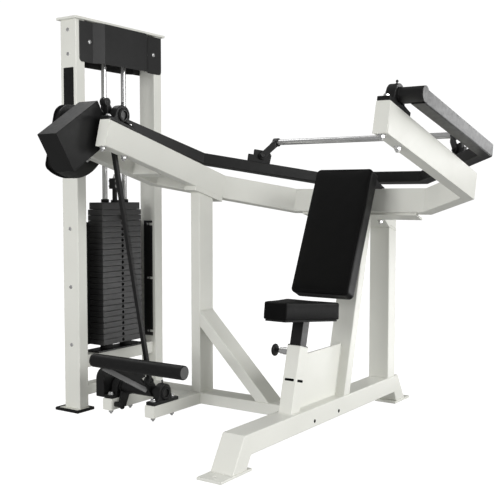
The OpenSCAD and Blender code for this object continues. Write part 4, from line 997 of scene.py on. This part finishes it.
# Studio: pale floor, soft light
def studio_floor():
    bm = bmesh.new()
    bmesh.ops.create_circle(bm, cap_ends=True, segments=64, radius=60)
    floor = as_object(bm, "studio_floor")
    floor.location.z = -0.0005
    made = Finish("pale_floor", grey(0.30), 0.9)
    made.colours(made.noise(0.6, 2), grey(0.29), grey(0.31))
    made.shader.inputs["Specular IOR Level"].default_value = 0.0
    made.shader.inputs["Emission Color"].default_value = (1, 1, 1, 1)
    made.shader.inputs["Emission Strength"].default_value = 0.97
    floor.data.materials.append(made.material)
    floor.visible_diffuse = False
    floor.visible_glossy = False
    floor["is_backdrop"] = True


def softbox(name, location, target, width, height, power, glossy=True, diffuse=True):
    """A soft light for gloss, diffuse surfaces or both."""
    light = bpy.data.lights.new(name, "AREA")
    light.shape, light.size, light.size_y, light.energy = "RECTANGLE", width, height, power
    obj = bpy.data.objects.new(name, light)
    obj.location = location
    obj.rotation_mode = "QUATERNION"
    obj.rotation_quaternion = (Vector(target) - Vector(location)).to_track_quat("-Z", "Y")
    obj.visible_camera = False
    obj.visible_glossy = glossy
    obj.visible_diffuse = diffuse
    scene.collection.objects.link(obj)


studio_floor()
softbox("key", (7.2, 1.0, 2.7), (-0.2, 0.6, 0.9), 3.8, 3.4, 330)
softbox("low", (1.1, 0.35, 0.06), (0.0, 0.35, 0.04), 2.2, 0.1, 3.2, glossy=False)
softbox("front", (-0.9, -3.6, 1.3), (-0.9, 0.6, 0.9), 2.6, 2.0, 92, glossy=False)
softbox("rim", (1.2, 1.6, 1.42), (0.6, 0.3, 1.2), 0.7, 0.6, 5.5, diffuse=False)
softbox("post_card", (1.05, 1.9, 0.16), (0.03, 0.35, 0.45), 0.6, 0.3, 1.6, diffuse=False)
softbox("stack_card", (0.75, 2.5, 0.26), (-1.05, 0.6, 0.6), 0.6, 0.8, 7, diffuse=False)
softbox("top", (-2.5, 1.0, 4.0), (-0.4, 0.3, 1.0), 2.2, 1.8, 25)
softbox("above", (0.4, 1.9, 3.2), (0.0, 0.2, 0.1), 2.0, 2.0, 8, glossy=False)

world = bpy.data.worlds.new("studio")
scene.world = world
world.use_nodes = True
nodes, links = world.node_tree.nodes, world.node_tree.links
rays = nodes.new("ShaderNodeLightPath").outputs
shade = nodes["Background"].outputs["Background"]
nodes["Background"].inputs["Color"].default_value = (1, 1, 0.985, 1)
nodes["Background"].inputs["Strength"].default_value = 0.36
for ray, strength in (("Is Glossy Ray", 0.14), ("Is Camera Ray", 1.05)):
    ground = nodes.new("ShaderNodeBackground")
    ground.inputs["Color"].default_value = (1, 1, 1, 1)
    ground.inputs["Strength"].default_value = strength
    choose = nodes.new("ShaderNodeMixShader")
    links.new(rays[ray], choose.inputs["Fac"])
    links.new(shade, choose.inputs[1])
    links.new(ground.outputs["Background"], choose.inputs[2])
    shade = choose.outputs["Shader"]
links.new(shade, nodes["World Output"].inputs["Surface"])

low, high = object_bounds()
